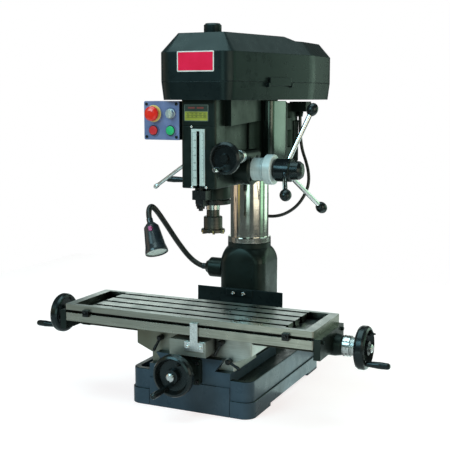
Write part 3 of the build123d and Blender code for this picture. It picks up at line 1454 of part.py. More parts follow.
# Quill with its rack, then the depth stop that hangs from it
rack_pitch_y = spindle_y + quill_radius
with BuildPart() as quill:
    turn(
        spindle_axis,
        [(quill_low_z, quill_radius - 2), (quill_low_z + 2, quill_radius), (quill_top_z, quill_radius)],
    )
    half_rack = QUILL_RACK_WIDTH / 2
    quill_rack_low = HEAD_BOTTOM_Z + 12
    block(
        (-half_rack, half_rack),
        (rack_pitch_y - 9, rack_pitch_y + 9),
        (quill_rack_low, quill_top_z),
        Mode.SUBTRACT,
    )
    prism(
        Plane.YZ.offset(-half_rack),
        rack_outline(rack_pitch_y - 10, rack_pitch_y, quill_rack_low, quill_top_z, capstan_z),
        QUILL_RACK_WIDTH,
    )
    spindle_bore = SPINDLE_DIA / 2 + SHAFT_FIT
    turn(spindle_axis, [(quill_low_z, spindle_bore), (quill_top_z, spindle_bore)], Mode.SUBTRACT)
save(quill, "quill")

stop_y = head_front_y + STOP_SLOT_DEPTH / 2
clamp_high_z = chin_z - 1
clamp_low_z = quill_low_z + 1
stop_block_z = HEAD_BOTTOM_Z - 6
stop_back_y = spindle_y - CHIN_DIA / 2 - 3
half_arm = STOP_ARM_WIDTH / 2
knob = STOP_KNOB_DIA / 2
with BuildPart() as depth_stop:
    ring(spindle_axis, clamp_low_z, clamp_high_z, QUILL_DIA + 2 * STOP_CLAMP_WALL, QUILL_DIA)
    block((-half_arm, half_arm), (stop_y - 8, spindle_y - quill_radius - 4), (clamp_low_z, clamp_high_z))
    block((-half_arm, half_arm), (stop_y - 8, stop_back_y), (clamp_low_z, stop_block_z))
    block(
        (-STOP_BLOCK_WIDTH / 2, STOP_BLOCK_WIDTH / 2),
        (stop_y - 12, stop_back_y),
        (stop_block_z - STOP_BLOCK_HEIGHT, stop_block_z),
    )
    rod((0, stop_y, clamp_low_z - 12), (0, stop_y, head_top_z - STOP_SLOT_TOP_DROP - 6), STOP_ROD_DIA)
    knob_plane = Plane(origin=(0, stop_y, clamp_low_z - 6))
    turn(knob_plane, [(0, knob), (6, knob), (7, knob - 2), (8, knob), (14, knob)])
    pointer_z = head_top_z - STOP_SLOT_TOP_DROP - 16
    block((-2.6, 2.6), (head_front_y - 5, stop_y), (pointer_z - 2, pointer_z + 2))
save(depth_stop, "depth_stop")

scale_top_z = head_top_z - STOP_SLOT_TOP_DROP - 1
with BuildPart() as depth_scale:
    scale_y = (head_front_y - 2, head_front_y)
    scale_low_z = HEAD_BOTTOM_Z + 8
    block((-SCALE_WIDTH / 2, SCALE_WIDTH / 2), scale_y, (scale_low_z, scale_top_z))
    half_slot = SCALE_SLOT_WIDTH / 2
    block((-half_slot, half_slot), scale_y, (scale_low_z, scale_top_z - 6), Mode.SUBTRACT)
save(depth_scale, "depth_scale")

# Spindle with its splined tail and drawbar, and the face mill it carries
spline_end = head_top_z + SPLINE_RISE
with BuildPart() as spindle:
    turn(
        spindle_axis,
        [
            (spindle_low_z, SPINDLE_DIA / 2 - 2),
            (spindle_low_z + 2, SPINDLE_DIA / 2),
            (quill_top_z, SPINDLE_DIA / 2),
            (quill_top_z, SPLINE_DIA / 2),
            (spline_end, SPLINE_DIA / 2),
            (spline_end, DRAWBAR_DIA / 2),
            (spline_end + 20, DRAWBAR_DIA / 2),
            (spline_end + 20, DRAWBAR_DIA / 2 + 3),
            (spline_end + 33, DRAWBAR_DIA / 2 + 3),
        ],
    )
save(spindle, "spindle")

mill_neck_z = spindle_low_z - MILL_NECK_LENGTH
mill_body_z = mill_neck_z - MILL_BODY_LENGTH
mill_low_z = mill_body_z - MILL_FACE_LENGTH
with BuildPart() as face_mill:
    turn(
        spindle_axis,
        [
            (mill_low_z + 2, MILL_FACE_DIA / 2 - 4),
            (mill_low_z + 3, MILL_FACE_DIA / 2),
            (mill_body_z, MILL_FACE_DIA / 2),
            (mill_body_z + 2, MILL_BODY_DIA / 2),
            (mill_neck_z - 2, MILL_BODY_DIA / 2),
            (mill_neck_z, MILL_BODY_DIA / 2 - 2),
            (mill_neck_z, MILL_NECK_DIA / 2),
            (spindle_low_z, MILL_NECK_DIA / 2),
        ],
    )
    for number in range(INSERT_COUNT):
        angle = 360 * number / INSERT_COUNT
        seat = Plane(origin=(0, spindle_y, mill_low_z)).rotated((0, 0, angle))
        with Locations(seat * Location((MILL_FACE_DIA / 2 - 4, -6, 7))):
            Box(14, 9, 15, mode=Mode.SUBTRACT)
        with Locations(seat * Location((MILL_FACE_DIA / 2 - 5, 0.5, 6))):
            Box(10, 4, 12)
save(face_mill, "face_mill")

# Quill lock on the head's left side
with BuildPart() as quill_lock:
    turn(lock_axis, [(MOVE_GAP, 10), (26, 10), (29, 7)])
    turn(lock_axis, [(quill_radius + 0.6 - head_side_x, LOCK_SCREW_DIA / 2), (1, LOCK_SCREW_DIA / 2)])
    lever_start = Vector(-head_side_x - 18, lock_y, lock_z)
    lever_end = lever_start + Vector(-QUILL_LEVER * 0.82, 0, -QUILL_LEVER * 0.572)
    rod(lever_start, lever_end, 10)
    turn(Plane(origin=lever_end, z_dir=lever_end - lever_start), [(-4, 5.4), (2, 6.5), (8, 6.5), (12, 4)])
save(quill_lock, "quill_lock")

# Crank that raises the head
with BuildPart() as lift_crank:
    turn(lift_axis, [(-40, LIFT_SHAFT_DIA / 2), (48, LIFT_SHAFT_DIA / 2)])
    turn(lift_axis, [(MOVE_GAP, 15), (16, 15), (20, 12), (38, 12), (40, 16), (52, 16), (54, 12)])
    crank_way = Vector(0, -LIFT_CRANK * 0.6, -LIFT_CRANK * 0.8)
    arm_start = Vector(lift_face_x - 46, lift_y, lift_z)
    arm_end = arm_start + crank_way
    rod(arm_start, arm_end, 14)
    turn(side_plane(lift_face_x - 38, arm_end.Y, arm_end.Z, -1), [(0, 12), (16, 12)])
    turn(side_plane(lift_face_x - 38, arm_end.Y, arm_end.Z, -1), [(0, 5), (16 + LIFT_GRIP - 8, 5)])
save(lift_crank, "lift_crank")

with BuildPart() as lift_grip:
    crank_grip = side_plane(lift_face_x - 54 - MOVE_GAP, arm_end.Y, arm_end.Z, -1)
    turn(
        crank_grip,
        [(0, 7), (4, 8), (LIFT_GRIP * 0.6, 9.5), (LIFT_GRIP - 6, 8.5), (LIFT_GRIP - 1, 6), (LIFT_GRIP, 3)],
    )
    turn(crank_grip, [(0, 5 + SHAFT_FIT), (LIFT_GRIP - 7, 5 + SHAFT_FIT)], Mode.SUBTRACT)
save(lift_grip, "lift_grip")

# Motor plate and motor behind the column
plate_back_y = plate_front_y + MOTOR_PLATE_THICK
motor_top_z = head_top_z - 10
motor_low_z = motor_top_z - MOTOR_HEIGHT
motor_axis = Plane(origin=(0, MOTOR_Y, 0))
motor_radius = MOTOR_DIA / 2
with BuildPart() as motor_plate:
    half_plate = MOTOR_PLATE_WIDTH / 2
    block((-half_plate, half_plate), (plate_front_y, plate_back_y), (HEAD_BOTTOM_Z + 43, head_top_z - 6))
    fillet(motor_plate.edges().filter_by(Axis.Y), 8)
    for x, z in plate_bolts:
        spot = Plane(origin=(x, plate_back_y, z), z_dir=(0, 1, 0))
        pierce(spot, MOTOR_PLATE_THICK, PLATE_BOLT_DIA + 2 * HOLE_GAP)
save(motor_plate, "motor_plate")

box_x = (motor_radius - 14, motor_radius + TERMINAL_BOX)
terminal_y = MOTOR_Y + 4
gland_x = motor_radius + 8
gland_y = MOTOR_Y + 16
gland_z = motor_top_z - 27
with BuildPart() as motor:
    turn(
        motor_axis,
        [
            (motor_low_z, motor_radius - 22),
            (motor_low_z + 4, motor_radius - 6),
            (motor_low_z + 12, motor_radius - 2),
            (motor_low_z + 46, motor_radius - 2),
            (motor_low_z + 46, motor_radius),
            (motor_top_z - 26, motor_radius),
            (motor_top_z - 26, motor_radius - 3),
            (motor_top_z - 3, motor_radius - 6),
            (motor_top_z, motor_radius - 12),
        ],
    )
    for x in (-MOTOR_FOOT_X, MOTOR_FOOT_X):
        for low in (60, 150):
            foot_z = (motor_low_z + low, motor_low_z + low + 36)
            block((x - 13, x + 13), (plate_back_y, MOTOR_Y - 30), foot_z)
    block(box_x, (terminal_y - 24, terminal_y + 24), (gland_z, motor_top_z + 4))
    turn(
        Plane(origin=(gland_x, gland_y, gland_z)),
        [(-GLAND_LENGTH, GLAND_DIA / 2 - 2), (-4, GLAND_DIA / 2), (0, GLAND_DIA / 2)],
    )
    rotor_bore = MOTOR_SHAFT_DIA / 2 + SHAFT_FIT
    turn(motor_axis, [(motor_top_z - 60, rotor_bore), (motor_top_z, rotor_bore)], Mode.SUBTRACT)
save(motor, "motor")


def guard_corners(inset):
    """Right-hand corners of the belt guard's outline, moved inwards, with their radii."""
    corners = [
        (0, GUARD_FRONT_Y),
        (GUARD_FRONT_WIDTH / 2, GUARD_FRONT_Y),
        (GUARD_WIDTH / 2, GUARD_FLARE_Y),
        (GUARD_WIDTH / 2, GUARD_REAR_SIDE_Y),
        (GUARD_REAR_WIDTH / 2, GUARD_REAR_Y),
        (0, GUARD_REAR_Y),
    ]
    lines = []
    for (x0, y0), (x1, y1) in zip(corners, corners[1:]):
        length = math.hypot(x1 - x0, y1 - y0)
        across = ((y1 - y0) / length, (x0 - x1) / length)
        lines.append((across[0], across[1], across[0] * x0 + across[1] * y0 - inset))
    moved = []
    for (a0, b0, c0), (a1, b1, c1) in zip(lines, lines[1:]):
        spread = a0 * b1 - a1 * b0
        moved.append(((c0 * b1 - c1 * b0) / spread, (a0 * c1 - a1 * c0) / spread))
    return moved


def guard_outline(z, inset):
    """Plan of the belt guard at a level."""
    right = guard_corners(inset)
    radii = [max(radius - inset, 9) for radius in GUARD_RADII]
    left = [(-x, y) for x, y in reversed(right)]
    with BuildSketch(Plane.XY.offset(z)) as plan:
        with BuildLine():
            FilletPolyline(*right, *left, radius=radii + radii[::-1], close=True)
        make_face()
    return plan.sketch


def guard_form(inset):
    """The belt cover as a solid form, moved inwards all round."""
    top = guard_top_z - inset
    with BuildPart() as form:
        extrude(guard_outline(pan_top_z + MOVE_GAP, inset), amount=bevel_z - pan_top_z - MOVE_GAP)
        loft([guard_outline(bevel_z, inset), guard_outline(top, GUARD_BEVEL + inset * 0.5)], ruled=True)
        prism(
            Plane.YZ.offset(-GUARD_WIDTH),
            [
                (GUARD_STEP_START_Y, top + 1),
                (GUARD_STEP_START_Y, top),
                (GUARD_STEP_END_Y, top - GUARD_STEP),
                (GUARD_REAR_Y, top - GUARD_STEP),
                (GUARD_REAR_Y, top + 1),
            ],
            2 * GUARD_WIDTH,
            Mode.SUBTRACT,
        )
    return form.part


# Pan under the belt guard: fixed to the head's top, with hinge knuckles and the idler's post
hinge_x = -GUARD_WIDTH / 2 - HINGE_OUT
hinge_y = (GUARD_FLARE_Y + GUARD_REAR_SIDE_Y) / 2
hinge_axis = Plane(origin=(hinge_x, hinge_y, pan_top_z), x_dir=(1, 0, 0), z_dir=(0, 1, 0))
latch_side = Vector(*guard_corners(0)[1]) - Vector(*guard_corners(0)[0])
latch_way = latch_side.normalized()
latch_mid = Vector(*guard_corners(0)[0]) + latch_side * LATCH_PLACE
latch_plane = Plane(
    origin=(latch_mid.X, latch_mid.Y, pan_top_z),
    x_dir=(latch_way.X, latch_way.Y, 0),
    z_dir=(latch_way.Y, -latch_way.X, 0),
)
latch_pin = Plane(origin=latch_plane.from_local_coords((0, -8, 5)), z_dir=latch_plane.x_dir)
half_latch = LATCH_LENGTH / 2
belt_z = head_top_z + PULLEY_RISE
pulley_steps = [PULLEY_RADIUS - number * PULLEY_STEP_DROP for number in range(PULLEY_STEP_COUNT)]
with BuildPart() as guard_pan:
    loft([guard_outline(head_top_z, GUARD_PAN_DRAFT), guard_outline(pan_top_z, 0)], ruled=True)
    loft(
        [
            guard_outline(head_top_z + GUARD_WALL, GUARD_PAN_DRAFT + GUARD_WALL),
            guard_outline(pan_top_z, GUARD_WALL),
        ],
        ruled=True,
        mode=Mode.SUBTRACT,
    )
    for y in (spindle_y, MOTOR_Y):
        turn(
            Plane(origin=(0, y, head_top_z)),
            [(0, sleeve_dia / 2 + 3), (GUARD_WALL, sleeve_dia / 2 + 3)],
            Mode.SUBTRACT,
        )
    for low in (-KNUCKLE * 1.5, KNUCKLE * 0.5):
        turn(hinge_axis, [(low, KNUCKLE_DIA / 2), (low + KNUCKLE, KNUCKLE_DIA / 2)])
        block(
            (hinge_x - 2, -GUARD_WIDTH / 2 + 0.8 * GUARD_WALL),
            (hinge_y + low, hinge_y + low + KNUCKLE),
            (pan_top_z - 12, pan_top_z - 3),
        )
    turn(hinge_axis, [(-KNUCKLE * 1.5, 3), (KNUCKLE * 1.5, 3)])
    for x in (-half_latch - 9, half_latch + 1):
        with Locations(latch_plane * Location((x + 4, -8, 4))):
            Box(8, 11, 10)
        turn(
            latch_pin,
            [(x, 2.5 + SHAFT_FIT), (x + 8, 2.5 + SHAFT_FIT)],
            Mode.SUBTRACT,
        )
    pulley_top = belt_z + len(pulley_steps) * PULLEY_STEP_HEIGHT
    turn(
        Plane(origin=(0, IDLER_Y, 0)),
        [
            (head_top_z, sleeve_dia / 2),
            (belt_z - 5, sleeve_dia / 2),
            (belt_z - 5, IDLER_PIN_DIA / 2),
            (pulley_top + 10, IDLER_PIN_DIA / 2),
        ],
    )
save(guard_pan, "guard_pan")

# Hinged belt cover, with the cap over the drawbar
with BuildPart() as guard_cover:
    add(guard_form(0))
    add(guard_form(GUARD_WALL), mode=Mode.SUBTRACT)
    half_knuckle = KNUCKLE / 2 - MOVE_GAP
    turn(hinge_axis, [(-half_knuckle, KNUCKLE_DIA / 2), (half_knuckle, KNUCKLE_DIA / 2)])
    block(
        (hinge_x - 2, -GUARD_WIDTH / 2 + 0.8 * GUARD_WALL),
        (hinge_y - half_knuckle, hinge_y + half_knuckle),
        (pan_top_z + 3, pan_top_z + 12),
    )
    turn(hinge_axis, [(-half_knuckle, 3 + SHAFT_FIT), (half_knuckle, 3 + SHAFT_FIT)], Mode.SUBTRACT)
    turn(
        spindle_axis,
        [
            (guard_top_z - 1, CAP_DIA / 2),
            (guard_top_z + CAP_HEIGHT - 5, CAP_DIA / 2),
            (guard_top_z + CAP_HEIGHT, CAP_DIA / 2 - 5),
        ],
    )
save(guard_cover, "guard_cover")

# Swinging latch that holds the cover down on its right side
with BuildPart() as cover_latch:
    with Locations(latch_plane * Location((0, 1, 5))):
        Box(LATCH_LENGTH, 22, 6)
    turn(latch_pin, [(-half_latch - 8, 2.5), (half_latch + 8, 2.5)])
save(cover_latch, "cover_latch")

# Step pulleys, smallest step radius first from below or above, and the two belts


def step_pulley(y, radii, low_end, low_dia, bore_dia):
    """Pulley with a V-groove in each step, on a boss that reaches down to low_end."""
    axis = Plane(origin=(0, y, 0))
    stations = [(low_end, low_dia / 2), (belt_z, low_dia / 2)]
    for number, radius in enumerate(radii):
        z = belt_z + number * PULLEY_STEP_HEIGHT
        stations.append((z, radius))
        stations.append((z + 2, radius))
        stations.append((z + 3, radius - BELT_DEPTH - 1.5))
        stations.append((z + PULLEY_STEP_HEIGHT - 3, radius - BELT_DEPTH - 1.5))
        stations.append((z + PULLEY_STEP_HEIGHT - 2, radius))
        stations.append((z + PULLEY_STEP_HEIGHT, radius))
    turn(axis, stations)
    if bore_dia:
        turn(axis, [(low_end, bore_dia / 2), (stations[-1][0], bore_dia / 2)], Mode.SUBTRACT)


with BuildPart() as spindle_pulley:
    step_pulley(spindle_y, pulley_steps[::-1], sleeve_z + 3, sleeve_dia, SPLINE_DIA + 2 * SHAFT_FIT)
save(spindle_pulley, "spindle_pulley")

with BuildPart() as idler_pulley:
    step_pulley(IDLER_Y, pulley_steps, belt_z - 4, IDLER_HUB_DIA, IDLER_PIN_DIA + 2 * SHAFT_FIT)
save(idler_pulley, "idler_pulley")

with BuildPart() as motor_pulley:
    step_pulley(MOTOR_Y, pulley_steps[::-1], motor_top_z - MOTOR_SHAFT_REACH, MOTOR_SHAFT_DIA, 0)
save(motor_pulley, "motor_pulley")

def belt_loop(z, first, second, grow):
    """Plan of a belt round two pulleys given as (y, radius)."""
    with BuildSketch(Plane.XY.offset(z)) as loop:
        with Locations((0, first[0])):
            Circle(first[1] + grow)
        with Locations((0, second[0])):
            Circle(second[1] + grow)
        make_hull(loop.edges())
    return loop.sketch


with BuildPart() as belts:
    front_belt = ((spindle_y, pulley_steps[2]), (IDLER_Y, pulley_steps[1]))
    rear_belt = ((IDLER_Y, pulley_steps[2]), (MOTOR_Y, pulley_steps[1]))
    for step, ends in ((1, front_belt), (2, rear_belt)):
        z = belt_z + step * PULLEY_STEP_HEIGHT + 4
        extrude(belt_loop(z, *ends, -0.5), amount=PULLEY_STEP_HEIGHT - 8)
        extrude(belt_loop(z, *ends, -BELT_DEPTH - 0.5), amount=PULLEY_STEP_HEIGHT - 8, mode=Mode.SUBTRACT)
save(belts, "belts")

# Control box with its front panel and four controls
box_right_x = -head_side_x - BOX_GAP_TO_HEAD
box_left_x = box_right_x - BOX_WIDTH
box_top_z = head_top_z - 3
box_low_z = box_top_z - BOX_HEIGHT
box_front_y = head_front_y + 5
box_back_y = box_front_y + BOX_DEPTH
panel_y = box_front_y - PANEL_THICK
box_mid_z = (box_low_z + box_top_z) / 2
box_mid_x = (box_left_x + box_right_x) / 2
button_x = (box_mid_x + 3 - BUTTON_COLUMN, box_mid_x + 3 + BUTTON_COLUMN)
estop_place = (button_x[0], box_mid_z + BUTTON_ROW_UP)
selector_place = (button_x[1], box_mid_z + BUTTON_ROW_UP)
stop_place = (button_x[0], box_mid_z - BUTTON_ROW_DOWN)
start_place = (button_x[1], box_mid_z - BUTTON_ROW_DOWN)
cable_end = Vector(box_mid_x, box_back_y + GLAND_LENGTH, box_mid_z - 14)
with BuildPart() as control_box:
    block((box_left_x, box_right_x), (box_front_y, box_back_y), (box_low_z, box_top_z))
    fillet(control_box.edges().filter_by(Axis.Y), 4)
    block(
        (box_left_x + BOX_WALL, box_right_x - BOX_WALL),
        (box_front_y, box_back_y - BOX_WALL),
        (box_low_z + BOX_WALL, box_top_z - BOX_WALL),
        Mode.SUBTRACT,
    )
    block(
        (box_right_x - 1, -head_side_x),
        (box_front_y + 14, box_back_y - 16),
        (box_low_z + 20, box_top_z - 24),
    )
    turn(
        Plane(origin=(cable_end.X, 0, cable_end.Z), z_dir=(0, 1, 0)),
        [
            (box_back_y - 1, GLAND_DIA / 2),
            (box_back_y + 10, GLAND_DIA / 2),
            (cable_end.Y, GLAND_DIA / 2 - 2),
        ],
    )
save(control_box, "control_box")

with BuildPart() as control_panel:
    block((box_left_x, box_right_x), (panel_y, box_front_y), (box_low_z, box_top_z))
    fillet(control_panel.edges().filter_by(Axis.Y), 4)
    panel = front_plane(panel_y)
    turn(along(panel, *estop_place), [(-1, ESTOP_DIA / 2 + 6), (1.5, ESTOP_DIA / 2 + 6)])
    for place in (stop_place, start_place, selector_place):
        turn(along(panel, *place), [(-1, BUTTON_DIA / 2 + 4), (4, BUTTON_DIA / 2 + 3)])
    for place in (estop_place, selector_place):
        pierce(along(panel, *place, 4), PANEL_THICK + 4, STEM_DIA + 2 * SHAFT_FIT)
    for place in (stop_place, start_place):
        pierce(along(panel, *place, 4), PANEL_THICK + 4, BUTTON_DIA + 2 * SHAFT_FIT)
save(control_panel, "control_panel")

with BuildPart() as emergency_stop:
    spot = along(panel, *estop_place)
    turn(
        spot,
        [
            (-PANEL_THICK - 16, STEM_DIA / 2),
            (8, STEM_DIA / 2),
            (9, ESTOP_DIA / 2 - 6),
            (13, ESTOP_DIA / 2),
            (19, ESTOP_DIA / 2 - 1),
            (23, ESTOP_DIA / 2 - 6),
            (24.5, ESTOP_DIA / 2 - 13),
        ],
    )
save(emergency_stop, "emergency_stop")


def push_button(plane):
    """Round push button in its bezel."""
    radius = BUTTON_DIA / 2
    turn(plane, [(-PANEL_THICK - 12, radius), (7, radius), (8.5, radius - 2)])


with BuildPart() as stop_button:
    push_button(along(panel, *stop_place))
save(stop_button, "stop_button")

with BuildPart() as start_button:
    push_button(along(panel, *start_place))
save(start_button, "start_button")

with BuildPart() as selector:
    spot = along(panel, *selector_place)
    knob_radius = BUTTON_DIA / 2
    turn(
        spot,
        [(-PANEL_THICK - 12, STEM_DIA / 2), (5, STEM_DIA / 2), (5, knob_radius), (12, knob_radius - 1)],
    )
    with Locations(along(spot, 0, 0, 15)):
        Box(6, BUTTON_DIA - 3, 10)
save(selector, "selector")

# Screws and bolts that hold the head's own pieces
panel_screws = [
    (x, z)
    for x in (box_left_x + 8, box_right_x - 8)
    for z in (box_low_z + 8, box_top_z - 8)
]
with BuildPart() as head_fasteners:
    for angle, reach in gear_bolts:
        spot = along(
            side_plane(gear_face_x - 7, capstan_y, capstan_z, 1),
            reach * math.cos(math.radians(angle)),
            reach * math.sin(math.radians(angle)),
        )
        cap_screw(spot, 10, 5, SMALL_SCREW_DIA, GEARBOX_LENGTH - 7 + SMALL_SCREW_GRIP)
    for x, z in plate_bolts:
        spot = Plane(origin=(x, plate_back_y, z), z_dir=(0, 1, 0))
        hex_bolt(spot, 17, 3.6, PLATE_BOLT_DIA, MOTOR_PLATE_THICK + SMALL_SCREW_GRIP)
    for x, z in panel_screws:
        turn(along(panel, x, z), [(0, 4), (2, 4), (3.2, 2.6)])
save(head_fasteners, "head_fasteners")

# Work lamp: mount, gooseneck that ends in a ball, and the lamp on that ball
mount_end_x = -SUPPORT_WIDTH / 2 - LAMP_MOUNT_LENGTH
lamp_mount_plane = side_plane(-SUPPORT_WIDTH / 2, LAMP_MOUNT_Y, LAMP_MOUNT_Z, -1)
with BuildPart() as lamp_mount:
    mount_radius = LAMP_MOUNT_DIA / 2
    turn(
        lamp_mount_plane,
        [
            (0, mount_radius),
            (LAMP_MOUNT_LENGTH - 14, mount_radius),
            (LAMP_MOUNT_LENGTH - 4, mount_radius - 10),
            (LAMP_MOUNT_LENGTH, mount_radius - 12),
        ],
    )
save(lamp_mount, "lamp_mount")


def bend_radii(points):
    """Radius of every turn of a route: 0.45 of the shorter run, over the tangent of half the turn."""
    radii = []
    for before, here, after in zip(points, points[1:], points[2:]):
        run_in = Vector(here) - Vector(before)
        run_out = Vector(after) - Vector(here)
        half_turn = math.radians(run_in.get_angle(run_out)) / 2
        radii.append(0.45 * min(run_in.length, run_out.length) / math.tan(half_turn))
    return radii


def report_route(name, dia, radii, length, volume):
    """Print the bends of a swept piece and compare its volume with section times length."""
    plain = math.pi * dia * dia / 4 * length
    print(name, "length", round(length, 1), "smallest radius", round(min(radii), 1))
    print(name, "radii", [round(radius) for radius in radii])
    print(name, "volume over section times length", round(volume / plain, 4))


neck_points = [(mount_end_x, LAMP_MOUNT_Y, LAMP_MOUNT_Z)] + [
    (mount_end_x + x, LAMP_MOUNT_Y + y, LAMP_MOUNT_Z + z) for x, y, z in GOOSENECK_ROUTE
]
neck_radii = bend_radii(neck_points)
ball = Vector(*neck_points[-1])
lamp_way = Vector(*LAMP_AIM).normalized()
lamp_axis = Plane(origin=ball, z_dir=lamp_way)
with BuildPart() as gooseneck:
    with BuildLine() as neck_route:
        FilletPolyline(*neck_points, radius=neck_radii)
    with BuildSketch(Plane(origin=neck_route.line @ 0, z_dir=neck_route.line % 0)):
        Circle(GOOSENECK_DIA / 2)
    sweep()
    neck_volume = gooseneck.part.volume
    with Locations(ball):
        Sphere(LAMP_BALL_DIA / 2)
report_route("gooseneck", GOOSENECK_DIA, neck_radii, neck_route.wire().length, neck_volume)
save(gooseneck, "gooseneck")

lamp_radius = LAMP_DIA / 2
switch_side = Vector(*SWITCH_SIDE)
switch_out = (switch_side - lamp_way * switch_side.dot(lamp_way)).normalized()
switch_plane = Plane(
    origin=ball + lamp_way * SWITCH_ALONG + switch_out * (LAMP_TOP_DIA / 2 - 1),
    x_dir=lamp_way,
    z_dir=switch_out,
)
switch_pin = Plane(origin=switch_plane.origin, z_dir=switch_plane.y_dir)
with BuildPart() as lamp_head:
    turn(
        lamp_axis,
        [
            (-1, LAMP_BALL_DIA / 2 + 3),
            (3, LAMP_BALL_DIA / 2 + 6),
            (9, LAMP_TOP_DIA / 2 - 1),
            (14, LAMP_TOP_DIA / 2),
            (LAMP_LENGTH - 22, lamp_radius - 4),
            (LAMP_LENGTH - 6, lamp_radius),
            (LAMP_LENGTH, lamp_radius),
        ],
    )
    with Locations(ball):
        Sphere(LAMP_BALL_DIA / 2 + SHAFT_FIT, mode=Mode.SUBTRACT)
    turn(lamp_axis, [(LAMP_LENGTH - 7, lamp_radius - 4), (LAMP_LENGTH, lamp_radius - 3)], Mode.SUBTRACT)
    with Locations(switch_plane):
        Box(17, 11, 12, mode=Mode.SUBTRACT)
    turn(switch_pin, [(-8, 1.5 + SHAFT_FIT), (8, 1.5 + SHAFT_FIT)], Mode.SUBTRACT)
save(lamp_head, "lamp_head")

with BuildPart() as lamp_lens:
    turn(lamp_axis, [(LAMP_LENGTH - 7, lamp_radius - 4), (LAMP_LENGTH - 3, lamp_radius - 4 + 4 / 7)])
save(lamp_lens, "lamp_lens")

with BuildPart() as lamp_switch:
    with Locations(along(switch_plane, 0, 0, 1)):
        Box(14, 9.6, 8)
    turn(switch_pin, [(-7.5, 1.5), (7.5, 1.5)])
save(lamp_switch, "lamp_switch")

# Motor cable: from the motor's gland round behind the column to the control box
cable_start = Vector(gland_x, gland_y, gland_z - GLAND_LENGTH)
cable_points = [cable_start, cable_start - Vector(0, 0, CABLE_TAIL)]
for x, y, z in CABLE_ROUTE:
    cable_points.append(Vector(x, COLUMN_Y + y, HEAD_BOTTOM_Z + z))
cable_points.append(cable_end + Vector(0, CABLE_TAIL, 0))
cable_points.append(cable_end)
cable_points = [(point.X, point.Y, point.Z) for point in cable_points]
cable_radii = bend_radii(cable_points)
with BuildPart() as motor_cable:
    with BuildLine() as cable_route:
        FilletPolyline(*cable_points, radius=cable_radii)
    with BuildSketch(Plane(origin=cable_route.line @ 0, z_dir=cable_route.line % 0)):
        Circle(CABLE_DIA / 2)
    sweep()
report_route("motor_cable", CABLE_DIA, cable_radii, cable_route.wire().length, motor_cable.part.volume)
save(motor_cable, "motor_cable")
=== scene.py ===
# %% [markdown]
# Bench mill drill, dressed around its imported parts
#
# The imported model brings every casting, shaft and knob at its true size, already placed. This
# lesson keeps those pieces where they are and gives them their finishes, then adds what a drawing
# of solids leaves out: the bent cable, the engraved scales, the plates and the small hardware.

# %% Load the frame and keep its box
import math

import bmesh
import bpy
import numpy as np
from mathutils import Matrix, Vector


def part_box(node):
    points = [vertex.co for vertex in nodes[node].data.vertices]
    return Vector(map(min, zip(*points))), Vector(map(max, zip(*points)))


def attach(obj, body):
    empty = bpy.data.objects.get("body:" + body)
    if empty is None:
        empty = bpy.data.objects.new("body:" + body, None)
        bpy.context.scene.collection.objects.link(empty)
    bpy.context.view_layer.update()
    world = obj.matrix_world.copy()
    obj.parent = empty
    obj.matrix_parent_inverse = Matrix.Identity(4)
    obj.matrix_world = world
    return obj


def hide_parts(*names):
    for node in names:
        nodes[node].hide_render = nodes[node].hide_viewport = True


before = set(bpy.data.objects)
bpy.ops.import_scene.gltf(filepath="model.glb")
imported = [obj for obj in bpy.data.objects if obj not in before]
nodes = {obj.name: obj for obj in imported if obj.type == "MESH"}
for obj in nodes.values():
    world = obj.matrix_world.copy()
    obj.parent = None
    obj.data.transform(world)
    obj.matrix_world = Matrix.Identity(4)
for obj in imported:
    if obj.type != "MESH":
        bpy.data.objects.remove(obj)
scene = bpy.context.scene
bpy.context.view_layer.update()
MM = 0.001

# %% [markdown]
# The camera
#
# The photograph was taken from the operator's right, a little above the table, with a long lens.
# The place and the lens were worked out from points whose sizes are known, such as the corners of
# the table. The picture is square, so the sensor's width holds for both ways.


# %% Camera
def add_object(name, data):
    """A new object in the scene around its data."""
    made = bpy.data.objects.new(name, data)
    scene.collection.objects.link(made)
    return made


camera_data = bpy.data.cameras.new("camera")
camera_data.sensor_width = 36.0
camera_data.lens = 72.46
camera = add_object("camera", camera_data)
camera.location = (1.079, -2.364, 0.8388)
camera.rotation_euler = (math.radians(81.98), 0.0, math.radians(24.90))
scene.camera = camera
print("camera at", [round(v, 3) for v in camera.location])

# %% [markdown]
# Lights and reflecting cards
#
# A dark glossy machine is lit mostly by what it mirrors. Two broad lights above give the even
# light, a weak one behind draws the back edges, and three lie on the floor and look up, as a white
# floor shines back. Around them stand large dim cards, as a product photographer sets them: each is
# seen only as a band on the polished column and a sheen on the painted sides. A card's brightness
# is its power over its area, so a large card of few watts is a calm reflection, hardly a light.


# %% Lights
def area_light(name, place, aim, width, height, watts, tint):
    """A soft rectangular light that looks from its place towards a point, itself out of the picture."""
    lamp = bpy.data.lights.new(name, "AREA")
    lamp.shape = "RECTANGLE"
    lamp.size = width
    lamp.size_y = height
    lamp.energy = watts
    lamp.color = tint
    holder = add_object(name, lamp)
    way = np.subtract(aim, place)
    flat = math.hypot(way[0], way[1])
    holder.rotation_euler = (math.atan2(flat, -way[2]), 0.0, math.atan2(way[1], way[0]) - math.pi / 2)
    holder.location = place
    holder.visible_camera = False


